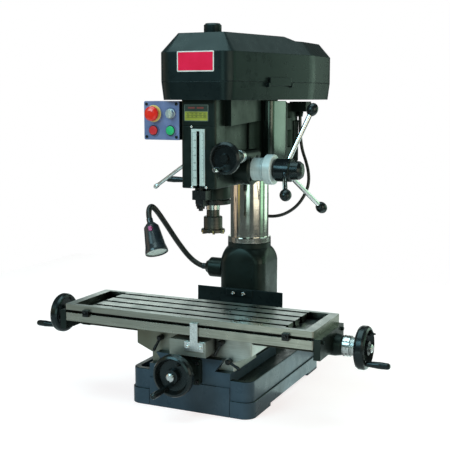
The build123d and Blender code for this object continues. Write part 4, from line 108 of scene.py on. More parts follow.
# Place, width and height in metres, watts and tint.
LIGHTS = {
    "front_light": ((-1.3, -2.9, 2.3), 1.8, 1.4, 64, (0.50, 0.89, 1.0)),
    "top_light": ((-0.2, -0.3, 3.0), 2.2, 2.2, 54, (0.68, 0.97, 0.98)),
    "back_light": ((1.0, 2.0, 3.0), 1.6, 1.2, 4.5, (0.72, 1.0, 0.97)),
}
LYING_LIGHTS = {
    "floor_light": ((0.75, 1.55, 0.02), 1.0, 1.2, 3.0, (0.72, 1.0, 0.92)),
    "base_light": ((0.37, 0.15, 0.006), 0.38, 1.2, 1.9, (0.76, 1.0, 0.93)),
    "fore_light": ((0.15, -1.3, 0.01), 0.7, 0.8, 1.9, (0.86, 1.0, 0.92)),
}
CARDS = {
    "left_card": ((-2.36, -0.69, 0.9), 1.3, 1.6, 5.4, (1.0, 0.74, 0.52)),
    "brown_card": ((-1.79, -1.75, 0.9), 0.5, 1.4, 1.5, (0.8, 0.6, 0.10)),
    "front_card": ((0.69, -2.58, 0.9), 0.9, 1.4, 8.4, (0.68, 1.0, 0.88)),
    "right_card": ((2.36, -0.95, 0.9), 1.7, 1.4, 19, (1.0, 0.90, 0.70)),
    "green_card": ((2.5, 0.73, 0.9), 0.9, 1.5, 5.4, (0.50, 0.95, 0.60)),
    "back_right_card": ((1.56, 1.95, 0.9), 1.2, 1.5, 12, (0.70, 1.0, 0.78)),
    "back_card": ((-0.96, 2.3, 0.75), 1.8, 0.9, 5, (0.88, 1.0, 0.95)),
}
MIDDLE, OVERHEAD, COLUMN_PLACE = (0.0, 0.0, 0.6), 1.0, (0.0, 0.137)
for name, (place, *light) in LIGHTS.items():
    area_light(name, place, MIDDLE, *light)
for name, (place, *light) in LYING_LIGHTS.items():
    area_light(name, place, (*place[:2], OVERHEAD), *light)
for name, (place, *light) in CARDS.items():
    area_light(name, place, (*COLUMN_PLACE, place[2]), *light)

# %% [markdown]
# Floor and backdrop
#
# The machine stands on a plain pale floor before an even white. The room's own light is weak, so
# that the cards show; only where the camera looks straight at the background is it full white.


# %% Floor and backdrop
def add_node(tree, kind, *inputs, **named):
    """A shader node whose sockets, by order or by name, are joined to an output or set to a value."""
    node = tree.nodes.new("ShaderNode" + kind)
    for socket, value in (*enumerate(inputs), *named.items()):
        if isinstance(value, bpy.types.NodeSocket):
            tree.links.new(value, node.inputs[socket])
        else:
            node.inputs[socket].default_value = value
    return node


world = bpy.data.worlds.new("white_room")
scene.world = world
world.use_nodes = True
world_tree = world.node_tree
room = world_tree.nodes["Background"]
room.inputs["Color"].default_value = (0.84, 1.0, 0.94, 1)
room.inputs["Strength"].default_value = 0.10
backdrop = add_node(world_tree, "Background", (1, 1, 1, 1))
seen = add_node(world_tree, "LightPath").outputs["Is Camera Ray"]
either = add_node(world_tree, "MixShader", seen, room.outputs[0], backdrop.outputs[0])
world_tree.links.new(either.outputs[0], world_tree.nodes["World Output"].inputs["Surface"])
scene.view_settings.view_transform = "Standard"

FLOOR_HALF = 1.7
FLOOR_DROP = 0.0006
floor_mesh = bpy.data.meshes.new("floor")
floor_corners = np.array([(-1, -1), (1, -1), (1, 1), (-1, 1)]) * FLOOR_HALF
floor_mesh.from_pydata([(x, y, -FLOOR_DROP) for x, y in floor_corners.tolist()], [], [(0, 1, 2, 3)])
floor = add_object("floor", floor_mesh)
print("floor half:", FLOOR_HALF)

# %% [markdown]
# Finishes, and how their patterns are laid
#
# Each finish is one Principled shader. What is the same all over is a number on its socket. What
# varies comes from noise read in Object coordinates, in metres, so a scale of 400 means marks of
# about two millimetres. Ground and turned metal gets noise that is stretched along the tool's way.


# %% Shader helpers
def new_finish(name, color, metallic=0.0, roughness=0.5, **sockets):
    """A material with one Principled shader; every even value goes on the shader's own socket."""
    material = bpy.data.materials.new(name)
    material.use_nodes = True
    shader = material.node_tree.nodes["Principled BSDF"]
    sockets.update(Base_Color=(*color, 1), Metallic=metallic, Roughness=roughness)
    for socket, value in sockets.items():
        shader.inputs[socket.replace("_", " ")].default_value = value
    return material, material.node_tree, shader


def noise(tree, scale, detail=4.0, stretch=(1, 1, 1)):
    """Noise over the piece in Object coordinates, drawn out by stretch."""
    place = add_node(tree, "TexCoord").outputs["Object"]
    drawn = add_node(tree, "Mapping", Vector=place, Scale=stretch).outputs["Vector"]
    return add_node(tree, "TexNoise", Vector=drawn, Scale=scale, Detail=detail).outputs["Fac"]


def ramp(tree, value, stops):
    """Colours by value: a list of (position, colour)."""
    node = add_node(tree, "ValToRGB", value)
    while len(node.color_ramp.elements) < len(stops):
        node.color_ramp.elements.new(0.5)
    for element, (position, color) in zip(node.color_ramp.elements, stops):
        element.position = position
        element.color = (*color, 1)
    return node.outputs["Color"]


def spread(tree, value, low, high, start=0.3, end=0.7):
    """Carry a value from start to end over to low to high."""
    ends = {"From Min": start, "From Max": end, "To Min": low, "To Max": high}
    return add_node(tree, "MapRange", Value=value, **ends).outputs["Result"]


def product(tree, one, two):
    """Two values multiplied."""
    node = add_node(tree, "Math", one, two)
    node.operation = "MULTIPLY"
    return node.outputs["Value"]


def blend_color(tree, share, first, second):
    """First colour where share is 0, second where it is 1. Either may be a socket or a colour."""
    node = add_node(tree, "Mix")
    node.data_type = "RGBA"
    tree.links.new(share, node.inputs["Factor"])
    for socket, color in ((node.inputs[6], first), (node.inputs[7], second)):
        if isinstance(color, tuple):
            socket.default_value = (*color, 1)
        else:
            tree.links.new(color, socket)
    return node.outputs[2]


print("materials at the start:", len(bpy.data.materials))

# %% [markdown]
# Edges, corners and faces that look up
#
# A Bevel node softens every edge a little, as real edges are broken. Where its normal leaves the
# true one there is a mask of the edges, because paint wears thin there. An Ambient Occlusion node
# finds slots and corners, where grime and painted shade are laid, and the normal's Z finds faces that
# look up, which some finishes set apart with painted shade.


# %% Edges, corners and levels
def soft_normal(tree, radius):
    """The surface's normal with its edges rounded by a radius in metres."""
    node = add_node(tree, "Bevel", Radius=radius)
    node.samples = 4
    return node.outputs["Normal"]


def relief(tree, shader, heights, edge):
    """Bump on the shader from (height, strength, depth in metres), laid over softened edges."""
    before = soft_normal(tree, edge)
    for height, strength, depth in heights:
        node = add_node(tree, "Bump", Strength=strength, Distance=depth, Height=height, Normal=before)
        before = node.outputs["Normal"]
    tree.links.new(before, shader.inputs["Normal"])


def cavity(tree, reach):
    """One on open faces and nought deep in slots: how much of the sky within reach is free."""
    node = add_node(tree, "AmbientOcclusion", Distance=reach)
    node.samples = 8
    node.only_local = True
    return spread(tree, node.outputs["AO"], 0.0, 1.0, 0.52, 0.96)


def level(tree):
    """One on faces that look up and nought on the others."""
    true = add_node(tree, "NewGeometry").outputs["Normal"]
    height = add_node(tree, "SeparateXYZ", true).outputs["Z"]
    return spread(tree, height, 0.0, 1.0, 0.5, 0.8)


def edge_mask(tree, radius):
    """One along sharp edges and nought on flats: how far a rounded normal leaves the true one."""
    true = add_node(tree, "NewGeometry").outputs["Normal"]
    match = add_node(tree, "VectorMath", soft_normal(tree, radius), true)
    match.operation = "DOT_PRODUCT"
    return spread(tree, match.outputs["Value"], 1.0, 0.0, 0.80, 0.985)


print("masks:", [mask.__name__ for mask in (cavity, level, edge_mask)])

# %% [markdown]
# Paint
#
# The castings and the sheet guard wear a charcoal enamel, nearly black with a little green in it.
# The base is bluer and paler, and its top is painted darker, as painted shade. Sprayed enamel has a
# fine peel like orange skin, and castings show soft lumps under it. Rubbing hands and chips thin it
# along edges, where a paler primer begins to show, and in corners its reflection is dimmed, as painted
# shade.


# %% Enamels
TONE_SCALE, WEAR_SCALE, SHINE_SCALE, LUMP_SCALE, PEEL_SCALE = 9, 70, 34, 46, 620
LUMP_DEPTH, PEEL_DEPTH = 0.0012, 0.00025
# The reach and share for corners dim the enamel's reflection there: painted shade.
WORN_EDGE, CORNER_SHADE_REACH, CORNER_SHADE_SHARE = 0.0014, 0.035, 0.12


def enamel(name, deep, pale, sheen, mirror, shine, peel, lumps, edge, top_shade=None):
    """Sprayed paint: slow changes of tone, patchy shine, peel and lumps in the relief, thin edges.

    Mirror is how much it reflects head on; in corners it is dimmed, as painted shade.
    The last tone, if given, goes on faces that look up and darkens them, as painted shade."""
    material, tree, shader = new_finish(name, pale, Specular_Tint=(*sheen, 1))
    # Painted shade: the reflection is dimmed in corners.
    unshaded_mirror = spread(tree, cavity(tree, CORNER_SHADE_REACH), CORNER_SHADE_SHARE * mirror, mirror, 0.0, 1.0)
    tree.links.new(unshaded_mirror, shader.inputs["Specular IOR Level"])
    tone = ramp(tree, noise(tree, TONE_SCALE, 5), [(0.35, deep), (0.68, pale)])
    # Painted shade: faces that look up take a darker tone.
    if top_shade:
        tone = blend_color(tree, level(tree), tone, top_shade)
    patches = spread(tree, noise(tree, WEAR_SCALE, 6), 0.0, 0.6, 0.44, 0.68)
    wear = product(tree, edge_mask(tree, WORN_EDGE), patches)
    primer = tuple(0.040 + 1.5 * v for v in pale)
    tree.links.new(blend_color(tree, wear, tone, primer), shader.inputs["Base Color"])
    tree.links.new(spread(tree, noise(tree, SHINE_SCALE, 6), *shine), shader.inputs["Roughness"])
    lumpy = (noise(tree, LUMP_SCALE, 3), lumps, LUMP_DEPTH)
    peeled = (noise(tree, PEEL_SCALE, 2), peel, PEEL_DEPTH)
    relief(tree, shader, [lumpy, peeled], edge)
    return material


# Tones: deep, pale and the tint of the sheen.
CASTING_TONES = ((0.0036, 0.0060, 0.0054), (0.0070, 0.0106, 0.0096), (0.80, 1.0, 0.92))
BASE_TONES = ((0.0280, 0.0430, 0.0610), (0.0480, 0.0700, 0.0970), (0.74, 0.95, 1.0))
SHEET_TONES = ((0.0056, 0.0092, 0.0098), (0.0100, 0.0150, 0.0158), (0.72, 0.98, 1.0))
casting_paint = enamel("casting_paint", *CASTING_TONES, 0.24, (0.26, 0.44), 0.14, 0.09, 0.0018)
sheet_paint = enamel("sheet_paint", *SHEET_TONES, 0.185, (0.24, 0.36), 0.07, 0.03, 0.0028)
# A dark tone for the base's top: painted shade.
SHADED_TOP = (0.005, 0.008, 0.0075)
base_paint = enamel("base_paint", *BASE_TONES, 0.22, (0.24, 0.40), 0.10, 0.07, 0.0022, SHADED_TOP)
motor_paint = enamel("motor_paint", *CASTING_TONES, 0.24, (0.32, 0.50), 0.20, 0.05, 0.0008)
print("paints:", [m.name for m in (casting_paint, sheet_paint, base_paint, motor_paint)])

# %% [markdown]
# Bare metal
#
# The table's top is ground: very fine straight lines along its length, with patches of thin oil.
# Its sides are painted darker than its top, as painted shade, and its slots and troughs are near
# black, partly grime and partly painted shade, where little of the sky is free. The saddle is milled,
# and its left is painted darker and browner, as painted shade. Round pieces are turned, which leaves
# rings about their axis, so their noise is drawn out across it.


# %% Machined metal
# A near black laid in cavities: grime and painted shade.
GRIME_AND_SHADE = (0.008, 0.008, 0.007)
STAIN_SCALE, OIL_SCALE = 16, 24
# Where the painted shade on the saddle's left fades out, along X in metres.
LEFT_SHADE_START, LEFT_SHADE_END = -0.14, 0.16
SCRATCH_DEPTH, BROKEN_EDGE = 0.00012, 0.0005


def rightward(tree, start, end):
    """Rises from nought to one between two places along X, in Object coordinates."""
    place = add_node(tree, "TexCoord").outputs["Object"]
    return spread(tree, add_node(tree, "SeparateXYZ", place).outputs["X"], 0.0, 1.0, start, end)


def machined(
    name, deep, pale, shine, stretch, fine=900.0, scratch=0.08, metallic=1.0,
    stain=None, sides=None, slots=0.0, left_shade=None,
):
    """Metal with tool marks drawn out by stretch, an uneven shine and faint stains of oil.

    Sides gives faces that do not look up their own darker tone, as painted shade; slots is the reach
    of grime and painted shade in cavities; and the last tone is painted shade that fades out to the right."""
    material, tree, shader = new_finish(name, pale, metallic)
    marks = noise(tree, fine, 3, stretch)
    tone = ramp(tree, marks, [(0.30, deep), (0.70, pale)])
    if stain:
        patch = spread(tree, noise(tree, STAIN_SCALE, 6), 0.0, 0.8, 0.46, 0.74)
        tone = blend_color(tree, patch, tone, stain)
    # Painted shade: faces that do not look up take the darker side tones.
    if sides:
        upright = ramp(tree, marks, [(0.30, sides[0]), (0.70, sides[1])])
        tone = blend_color(tree, level(tree), upright, tone)
    # Painted shade: a darker tone on the left that fades out to the right.
    if left_shade:
        tone = blend_color(tree, rightward(tree, LEFT_SHADE_START, LEFT_SHADE_END), left_shade, tone)
    # Cavities darken towards near black: grime and painted shade.
    if slots:
        tone = blend_color(tree, cavity(tree, slots), GRIME_AND_SHADE, tone)
    tree.links.new(tone, shader.inputs["Base Color"])
    tree.links.new(spread(tree, noise(tree, OIL_SCALE, 6), *shine), shader.inputs["Roughness"])
    relief(tree, shader, [(marks, scratch, SCRATCH_DEPTH)], BROKEN_EDGE)
    return material


EVEN = (1, 1, 1)
ALONG_X, ALONG_Z = (0.012, 1, 1), (1, 1, 0.012)
RINGS_X, RINGS_Y, RINGS_Z = (1, 0.015, 0.015), (0.015, 1, 0.015), (0.015, 0.015, 1)
STEEL_TONES = ((0.42, 0.43, 0.43), (0.66, 0.67, 0.67))
# Darker tones for the table's sides: painted shade.
TABLE_SHADED_SIDES = ((0.24, 0.235, 0.20), (0.36, 0.355, 0.31))
ground_table = machined(
    "ground_table", (0.48, 0.51, 0.49), (0.70, 0.73, 0.71), (0.24, 0.40), ALONG_X,
    stain=(0.50, 0.53, 0.50), sides=TABLE_SHADED_SIDES, slots=0.04,
)
# The saddle's left is painted darker and browner: painted shade.
milled_saddle = machined(
    "milled_saddle", (0.38, 0.40, 0.38), (0.56, 0.58, 0.56), (0.34, 0.50), ALONG_X,
    metallic=0.85, stain=(0.32, 0.31, 0.27), slots=0.03, left_shade=(0.15, 0.145, 0.11),
)
polished_column = machined(
    "polished_column", (0.55, 0.55, 0.51), (0.74, 0.73, 0.69), (0.08, 0.17), RINGS_Z, scratch=0.04
)
print("finishes so far:", len(bpy.data.materials))

# %% [markdown]
# Turned, plated and blackened metal
#
# The leadscrews and the quill are turned bright, the capstan's spokes are plated, and bolts and
# locks are blackened. The feed dial and the depth scale are only partly metallic, because their
# printed faces are lacquered.

# %% Small metal pieces
turned_x, turned_y, turned_z = (
    machined("turned_" + axis, *STEEL_TONES, (0.18, 0.32), rings)
    for axis, rings in zip("xyz", (RINGS_X, RINGS_Y, RINGS_Z))
)
plain_steel = machined("plain_steel", (0.52, 0.53, 0.53), (0.72, 0.73, 0.73), (0.22, 0.38), EVEN, 260)
chrome = machined("chrome", (0.72, 0.74, 0.75), (0.84, 0.85, 0.86), (0.05, 0.11), EVEN, 120, 0.02)
black_oxide = machined(
    "black_oxide", (0.020, 0.021, 0.022), (0.045, 0.046, 0.048), (0.30, 0.46), EVEN, 420, 0.05
)
cutter_black = machined(
    "cutter_black", (0.040, 0.042, 0.040), (0.085, 0.088, 0.082), (0.26, 0.42), RINGS_Z,
    stain=(0.13, 0.115, 0.09),
)
carbide_gold = machined("carbide_gold", (0.50, 0.40, 0.16), (0.72, 0.60, 0.30), (0.20, 0.32), EVEN, 300)
dial_blue = machined(
    "dial_blue", (0.56, 0.63, 0.65), (0.68, 0.75, 0.77), (0.36, 0.48), RINGS_X, 700, 0.05, 0.12
)
pulley_metal = machined("pulley_metal", (0.48, 0.49, 0.50), (0.70, 0.71, 0.72), (0.22, 0.38), RINGS_Z)
bronze = machined("bronze", (0.36, 0.23, 0.09), (0.55, 0.38, 0.17), (0.26, 0.42), EVEN, 300)
satin_silver = machined(
    "satin_silver", (0.60, 0.62, 0.62), (0.78, 0.80, 0.80), (0.26, 0.36), RINGS_Y, 600, 0.04
)
scale_metal = machined(
    "scale_metal", (0.56, 0.60, 0.57), (0.70, 0.74, 0.71), (0.30, 0.42), ALONG_Z, 500, 0.03, 0.35
)
print("finishes so far:", len(bpy.data.materials))

# %% [markdown]
# Plastic, rubber and glass
#
# The wheels, grips and knobs are black phenolic, glossy with a few fine scuffs. Buttons are bright
# plastic under a thin clear coat. The cable and the lamp's sleeve are dull rubber that takes a
# faint bloom of dust, and the lamp's lens is frosted.


# %% Plastics and rubbers
BLOOM_SCALE, SCUFF_SCALE = 30, 55
GRAIN_DEPTH, MOULD_EDGE = 0.0002, 0.0004


def moulded(name, deep, pale, shine, grain=500.0, depth=0.10, **sockets):
    """Moulded plastic or rubber: a little change of tone, scuffed shine and a fine grain."""
    material, tree, shader = new_finish(name, pale, **sockets)
    tone = ramp(tree, noise(tree, BLOOM_SCALE, 5), [(0.35, deep), (0.70, pale)])
    tree.links.new(tone, shader.inputs["Base Color"])
    tree.links.new(spread(tree, noise(tree, SCUFF_SCALE, 7), *shine), shader.inputs["Roughness"])
    relief(tree, shader, [(noise(tree, grain, 3), depth, GRAIN_DEPTH)], MOULD_EDGE)
    return material


GLOSS = {"Coat_Weight": 0.12, "Coat_Roughness": 0.06}
DARK_GLOSS = {"Specular_IOR_Level": 0.32, "Specular_Tint": (0.78, 0.95, 1.0, 1)}
MATT = {"Specular_IOR_Level": 0.12}
BUTTON_SHINE = (0.14, 0.26)
black_phenolic = moulded(
    "black_phenolic", (0.0044, 0.0054, 0.0058), (0.0088, 0.0104, 0.0110), (0.16, 0.30), **DARK_GLOSS
)
belt_rubber = moulded("belt_rubber", (0.010, 0.010, 0.010), (0.022, 0.022, 0.021), (0.62, 0.82), 380, 0.4)
cable_rubber = moulded(
    "cable_rubber", (0.0065, 0.0070, 0.0070), (0.0140, 0.0148, 0.0145), (0.38, 0.55), 700, 0.15
)
sleeve_rubber = moulded(
    "sleeve_rubber", (0.0060, 0.0068, 0.0064), (0.0130, 0.0142, 0.0135), (0.26, 0.42), 640, 0.15
)
lamp_shell = moulded("lamp_shell", (0.010, 0.014, 0.018), (0.021, 0.027, 0.033), (0.22, 0.36), 520, 0.12)
stop_red = moulded("stop_red", (0.74, 0.016, 0.010), (0.90, 0.030, 0.016), BUTTON_SHINE, **GLOSS)
button_red = moulded("button_red", (0.62, 0.030, 0.040), (0.78, 0.060, 0.070), BUTTON_SHINE, **GLOSS)
button_green = moulded("button_green", (0.020, 0.36, 0.130), (0.040, 0.52, 0.200), BUTTON_SHINE, **GLOSS)
ring_yellow = moulded("ring_yellow", (0.74, 0.50, 0.13), (0.86, 0.66, 0.24), (0.26, 0.38))
rocker_magenta = moulded("rocker_magenta", (0.36, 0.015, 0.12), (0.52, 0.035, 0.20), (0.16, 0.28))
panel_paint = moulded(
    "panel_paint", (0.125, 0.150, 0.300), (0.175, 0.205, 0.380), (0.26, 0.40), 620, 0.12
)
lens_glass = moulded(
    "lens_glass", (0.74, 0.82, 0.78), (0.88, 0.93, 0.90), (0.16, 0.30), 260, 0.35, **GLOSS
)
print("finishes so far:", len(bpy.data.materials))

# %% [markdown]
# Colours of plates and marks
#
# Plates are lacquered sheet. Each colour of lacquer is a finish with hardly any grain, and the
# lines and figures are a dull black. The red hardly reflects, so that it stays deep.

# %% Lacquers and marks
mark_black = moulded("mark_black", (0.010, 0.010, 0.010), (0.020, 0.020, 0.020), (0.45, 0.60))
plate_red = moulded("plate_red", (0.78, 0.010, 0.052), (0.86, 0.014, 0.070), (0.34, 0.40), 700, 0.02, **MATT)
plate_pale = moulded("plate_pale", (0.66, 0.62, 0.60), (0.80, 0.77, 0.74), (0.34, 0.48), 700, 0.05)
chart_edge = moulded("chart_edge", (0.07, 0.09, 0.08), (0.14, 0.17, 0.15), (0.34, 0.48), 700, 0.05)
chart_brown = moulded("chart_brown", (0.15, 0.022, 0.016), (0.22, 0.035, 0.026), (0.34, 0.48), 700, 0.05)
chart_dark = moulded("chart_dark", (0.012, 0.020, 0.014), (0.022, 0.034, 0.024), (0.30, 0.44), 700, 0.05)
chart_green = moulded("chart_green", (0.25, 0.25, 0.020), (0.42, 0.41, 0.050), (0.32, 0.46), 700, 0.05)
print("finishes:", len(bpy.data.materials))

# %% [markdown]
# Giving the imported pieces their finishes
#
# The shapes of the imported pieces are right, so they stay and only change their material. Turned
# pieces take the finish whose rings go round their own axis.

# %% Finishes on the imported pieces
CAST_PIECES = "column_support head_casting y_bracket end_brackets motor_plate feed_gearbox lamp_mount"
BLACK_STEEL = "base_fasteners head_fasteners x_lock_left x_lock_right y_lock trip_dogs depth_stop"
HAND_PIECES = "x_handwheels y_handwheel x_grip_left x_grip_right y_grip capstan_knobs lift_grip fine_feed"
FINISHES = {
    casting_paint: CAST_PIECES,
    sheet_paint: "guard_pan guard_cover way_guard control_box cover_latch",
    base_paint: "base_casting",
    motor_paint: "motor",
    ground_table: "table_casting",
    milled_saddle: "saddle_casting gibs",
    polished_column: "column",
    turned_x: "x_leadscrew lift_crank",
    turned_y: "y_leadscrew",
    turned_z: "quill spindle column_rack",
    plain_steel: "quill_lock stop_bracket",
    chrome: "capstan_shaft",
    black_oxide: BLACK_STEEL,
    cutter_black: "face_mill",
    black_phenolic: HAND_PIECES,
    dial_blue: "feed_dial",
    pulley_metal: "spindle_pulley idler_pulley motor_pulley",
    belt_rubber: "belts",
    bronze: "feed_nuts",
    satin_silver: "selector",
    scale_metal: "depth_scale",
    panel_paint: "control_panel",
    stop_red: "emergency_stop",
    button_red: "stop_button",
    button_green: "start_button",
    lamp_shell: "lamp_head",
    lens_glass: "lamp_lens",
    rocker_magenta: "lamp_switch",
}
for material, names in FINISHES.items():
    for name in names.split():
        nodes[name].data.materials.clear()
        nodes[name].data.materials.append(material)
print("dressed:", sum(len(names.split()) for names in FINISHES.values()), "of", len(nodes))

# %% [markdown]
# The floor's finish
#
# In the picture the floor fades into the white and still shows a soft shadow. A grey floor with a
# glow does that. The glow is stronger where the camera looks than as a light, or the paint would
# mirror a white floor, and a little pink against the green of the lights.

# %% Floor finish
FLOOR_TONE = (0.50, 0.50, 0.50)
GLOW_TINT = (1, 0.91, 0.915, 1)
GLOW_AS_LIGHT, GLOW_SEEN = 0.22, 0.755
floor_finish, floor_tree, floor_shader = new_finish("floor_finish", FLOOR_TONE, 0.0, 0.75)
floor_shader.inputs["Emission Color"].default_value = GLOW_TINT
looked_at = add_node(floor_tree, "LightPath").outputs["Is Camera Ray"]
floor_glow = spread(floor_tree, looked_at, GLOW_AS_LIGHT, GLOW_SEEN, 0.0, 1.0)
floor_tree.links.new(floor_glow, floor_shader.inputs["Emission Strength"])
floor_mesh.materials.append(floor_finish)
print("floor glow seen:", GLOW_SEEN)

# %% [markdown]
# How the new pieces are made
#
# A small piece could be pushed together from Blender's ready shapes, but then its size is hidden
# in scales and its ends stay open. Here each piece is a grid of points worked out at once with
# numpy: a row of the grid is a ring, and the rings are joined by quads and closed at both ends, or
# joined end to end where the piece is itself a ring. All sizes are in millimetres.
#
# Each piece stands in a set of three axes: to its right, up, and outwards. Right times up gives
# outwards, so rings that run from right to up, stacked outwards, have their faces to the outside.

# %% Axes and skins
FRONT = np.array([(1, 0, 0), (0, 0, 1), (0, -1, 0)], float)
RIGHT = np.array([(0, 1, 0), (0, 0, 1), (1, 0, 0)], float)
LEFT = np.array([(0, -1, 0), (0, 0, 1), (-1, 0, 0)], float)
UPWARDS = np.array([(1, 0, 0), (0, 1, 0), (0, 0, 1)], float)
ROUND = 64
CREASE = math.radians(35)


def place_piece(name, points, faces, finish, body):
    """Points in millimetres and faces become a mesh that rides on a body."""
    mesh = bpy.data.meshes.new(name)
    mesh.from_pydata((np.asarray(points) * MM).tolist(), [], faces)
    mesh.shade_smooth()
    mesh.set_sharp_from_angle(angle=CREASE)
    mesh.materials.append(finish)
    piece = add_object(name, mesh)
    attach(piece, body)
    return piece


def skin(name, rings, finish, body, wrap=False):
    """A closed surface through rings of points: quads from ring to ring, and flat ends.

    With wrap the last ring joins the first, and there are no ends."""
    index = np.arange(rings.shape[0] * rings.shape[1]).reshape(rings.shape[:2])
    ends = [] if wrap else [index[0, ::-1].tolist(), index[-1].tolist()]
    if wrap:
        index = np.vstack([index, index[:1]])
    beside = np.roll(index, -1, axis=1)
    quads = np.stack([index[:-1], beside[:-1], beside[1:], index[1:]], axis=-1).reshape(-1, 4)
    return place_piece(name, rings.reshape(-1, 3), quads.tolist() + ends, finish, body)


def circles(spot, axes, along, radius):
    """Circles about the outward axis: spot plus along times outwards plus radius times a unit circle.

    The radius is one number for a circle, or one for each of its points."""
    radius = np.asarray(radius, float)
    if radius.ndim == 1:
        radius = np.repeat(radius[:, None], ROUND, axis=1)
    angle = np.linspace(0, 2 * np.pi, radius.shape[1], endpoint=False)
    circle = np.cos(angle)[:, None] * axes[0] + np.sin(angle)[:, None] * axes[1]
    out = np.asarray(along, float)[:, None, None] * axes[2]
    return np.asarray(spot, float) + out + radius[:, :, None] * circle


def turned(name, spot, axes, profile, finish, body, wrap=False):
    """A lathe piece: each (along, radius) of the profile becomes a circle."""
    along, radius = np.array(profile, float).T
    return skin(name, circles(spot, axes, along, radius), finish, body, wrap)


print("points in a ring:", ROUND)

# %% [markdown]
# Plates, bars and figures
#
# Sheet labels are thin plates with round corners. Scale marks are many small blocks made in one
# go: eight corners, times each block's size, turned by its own axes. Figures come from Blender's
# own font. They are made into meshes before they are placed, and their doubled corners are merged,
# so that each figure is a closed little solid.

# %% Plates, bars and figures
BOX_CORNERS = np.array([(x, y, z) for z in (-0.5, 0.5) for y in (-0.5, 0.5) for x in (-0.5, 0.5)])
BOX_FACES = np.array([(0, 2, 3, 1), (4, 5, 7, 6), (0, 1, 5, 4), (2, 6, 7, 3), (0, 4, 6, 2), (1, 3, 7, 5)])
MERGE = 1e-7
CHAMFER = 0.25


def corner_circle(width, height, corner):
    """A unit circle in steps, and where each of its quarters goes: the centre of its own round corner."""
    angle = (np.arange(ROUND) + 0.5) * 2 * np.pi / ROUND
    circle = np.stack([np.cos(angle), np.sin(angle)], axis=-1)
    return circle, np.sign(circle) * (np.array([width, height]) / 2 - corner)


def plate(name, spot, axes, width, height, thick, corner, finish, body, slot):
    """A plate with round corners and a fine chamfer: a circle whose quarters move out to the corners."""
    chamfer = min(CHAMFER, thick / 2)
    circle, centre = corner_circle(width, height, corner)
    grow = np.array([0, 0, -chamfer])[:, None, None]
    out = np.array([0, thick - chamfer, thick])[:, None, None]
    outline = centre + circle * (corner + grow)
    rings = np.asarray(spot, float) + outline @ axes[:2] + out * axes[2]
    return skin(name, rings, finish, body)


def bars(name, centres, axes, sizes, finish, body, slot):
    """Many blocks at once: each centre plus the box corners times its size along its three axes."""
    count = len(centres)
    axes = np.broadcast_to(axes, (count, 3, 3))
    sizes = np.broadcast_to(sizes, (count, 3))
    points = np.asarray(centres)[:, None] + np.einsum("kc,nc,ncd->nkd", BOX_CORNERS, sizes, axes)
    faces = (BOX_FACES + 8 * np.arange(count)[:, None, None]).reshape(-1, 4)
    return place_piece(name, points.reshape(-1, 3), faces.tolist(), finish, body)


def figures(name, labels, centres, axes, height, finish, body, slot, depth=0.12):
    """Plain numbers, each a font outline given a depth, laid at its centre along its axes."""
    axes = np.broadcast_to(axes, (len(labels), 3, 3))
    points, faces, start = [], [], 0
    for label, centre, way in zip(labels, centres, axes):
        line = bpy.data.curves.new(name, "FONT")
        line.body = label
        line.size = height
        line.align_x = line.align_y = "CENTER"
        line.extrude = depth
        line.resolution_u = 3
        holder = bpy.data.objects.new(name, line)
        flat = bpy.data.meshes.new_from_object(holder)
        local = np.empty(len(flat.vertices) * 3)
        flat.vertices.foreach_get("co", local)
        points.append(np.asarray(centre) + local.reshape(-1, 3) @ way)
        faces += [[v + start for v in polygon.vertices] for polygon in flat.polygons]
        start += len(flat.vertices)
        bpy.data.objects.remove(holder)
        bpy.data.meshes.remove(flat)
    piece = place_piece(name, np.vstack(points), faces, finish, body)
    shape = bmesh.new()
    shape.from_mesh(piece.data)
    bmesh.ops.remove_doubles(shape, verts=shape.verts, dist=MERGE)
    bmesh.ops.recalc_face_normals(shape, faces=shape.faces)
    shape.to_mesh(piece.data)
    shape.free()
    return piece


print("block faces:", len(BOX_FACES))

# %% [markdown]
# Plates on the front
#
# The guard carries a red plate with a pale border, left blank. The head carries a chart of speeds:
# a grey plate with a dark heading, two brown bars on it, and a yellow-green field where thin lines
# part rows of plain numbers. The layers stand a fraction of a millimetre above each other, as
# printed layers of lacquer would, so that they never lie in one plane.

# %% Front plates
guard_front_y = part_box("guard_cover")[0][1] / MM
BLANK_CENTRE = np.array((7.0, guard_front_y, 931.5))
BLANK_SIZE, BLANK_BORDER, BLANK_THICK = (107.0, 53.0), 3.0, 0.9
BLANK_FIELD = [side - 2 * BLANK_BORDER for side in BLANK_SIZE]
blank_front = BLANK_CENTRE + BLANK_THICK * FRONT[2]
plate(
    "blank_plate_border", BLANK_CENTRE, FRONT, *BLANK_SIZE, BLANK_THICK, 3.0,
    plate_pale, "guard_cover", "scale_plate",
)
plate(
    "blank_plate_field", blank_front, FRONT, *BLANK_FIELD, 0.3, 1.5,
    plate_red, "guard_cover", "red_plastic",
)

HEAD_FRONT_Y = -208.0
HEAD_MARK = (mark_black, "head", "black_plastic")
CHART_CENTRE = np.array((-5.5, HEAD_FRONT_Y, 798.2))
CHART_SIZE, CHART_THICK = (71.0, 43.6), 0.8
CHART_ROWS = (["90", "140", "190", "270", "320"], ["420", "560", "700", "1100", "1600"])
HEADING, FIELD, LACQUER = (67.4, 15.6), (67.4, 23.4), (0.2, 1.0)
FIGURE_STEP, PROUD = 12.2, -0.25
chart_front = CHART_CENTRE + CHART_THICK * FRONT[2]
heading_place, field_place = (chart_front + (0, 0, rise) for rise in (12.2, -8.3))
plate("chart_border", CHART_CENTRE, FRONT, *CHART_SIZE, CHART_THICK, 2.0, chart_edge, "head", "scale_plate")
plate("chart_heading", heading_place, FRONT, *HEADING, *LACQUER, chart_dark, "head", "black_plastic")
heading_bars = [chart_front + (x, PROUD, 13.4) for x in (-14.0, 12.0)]
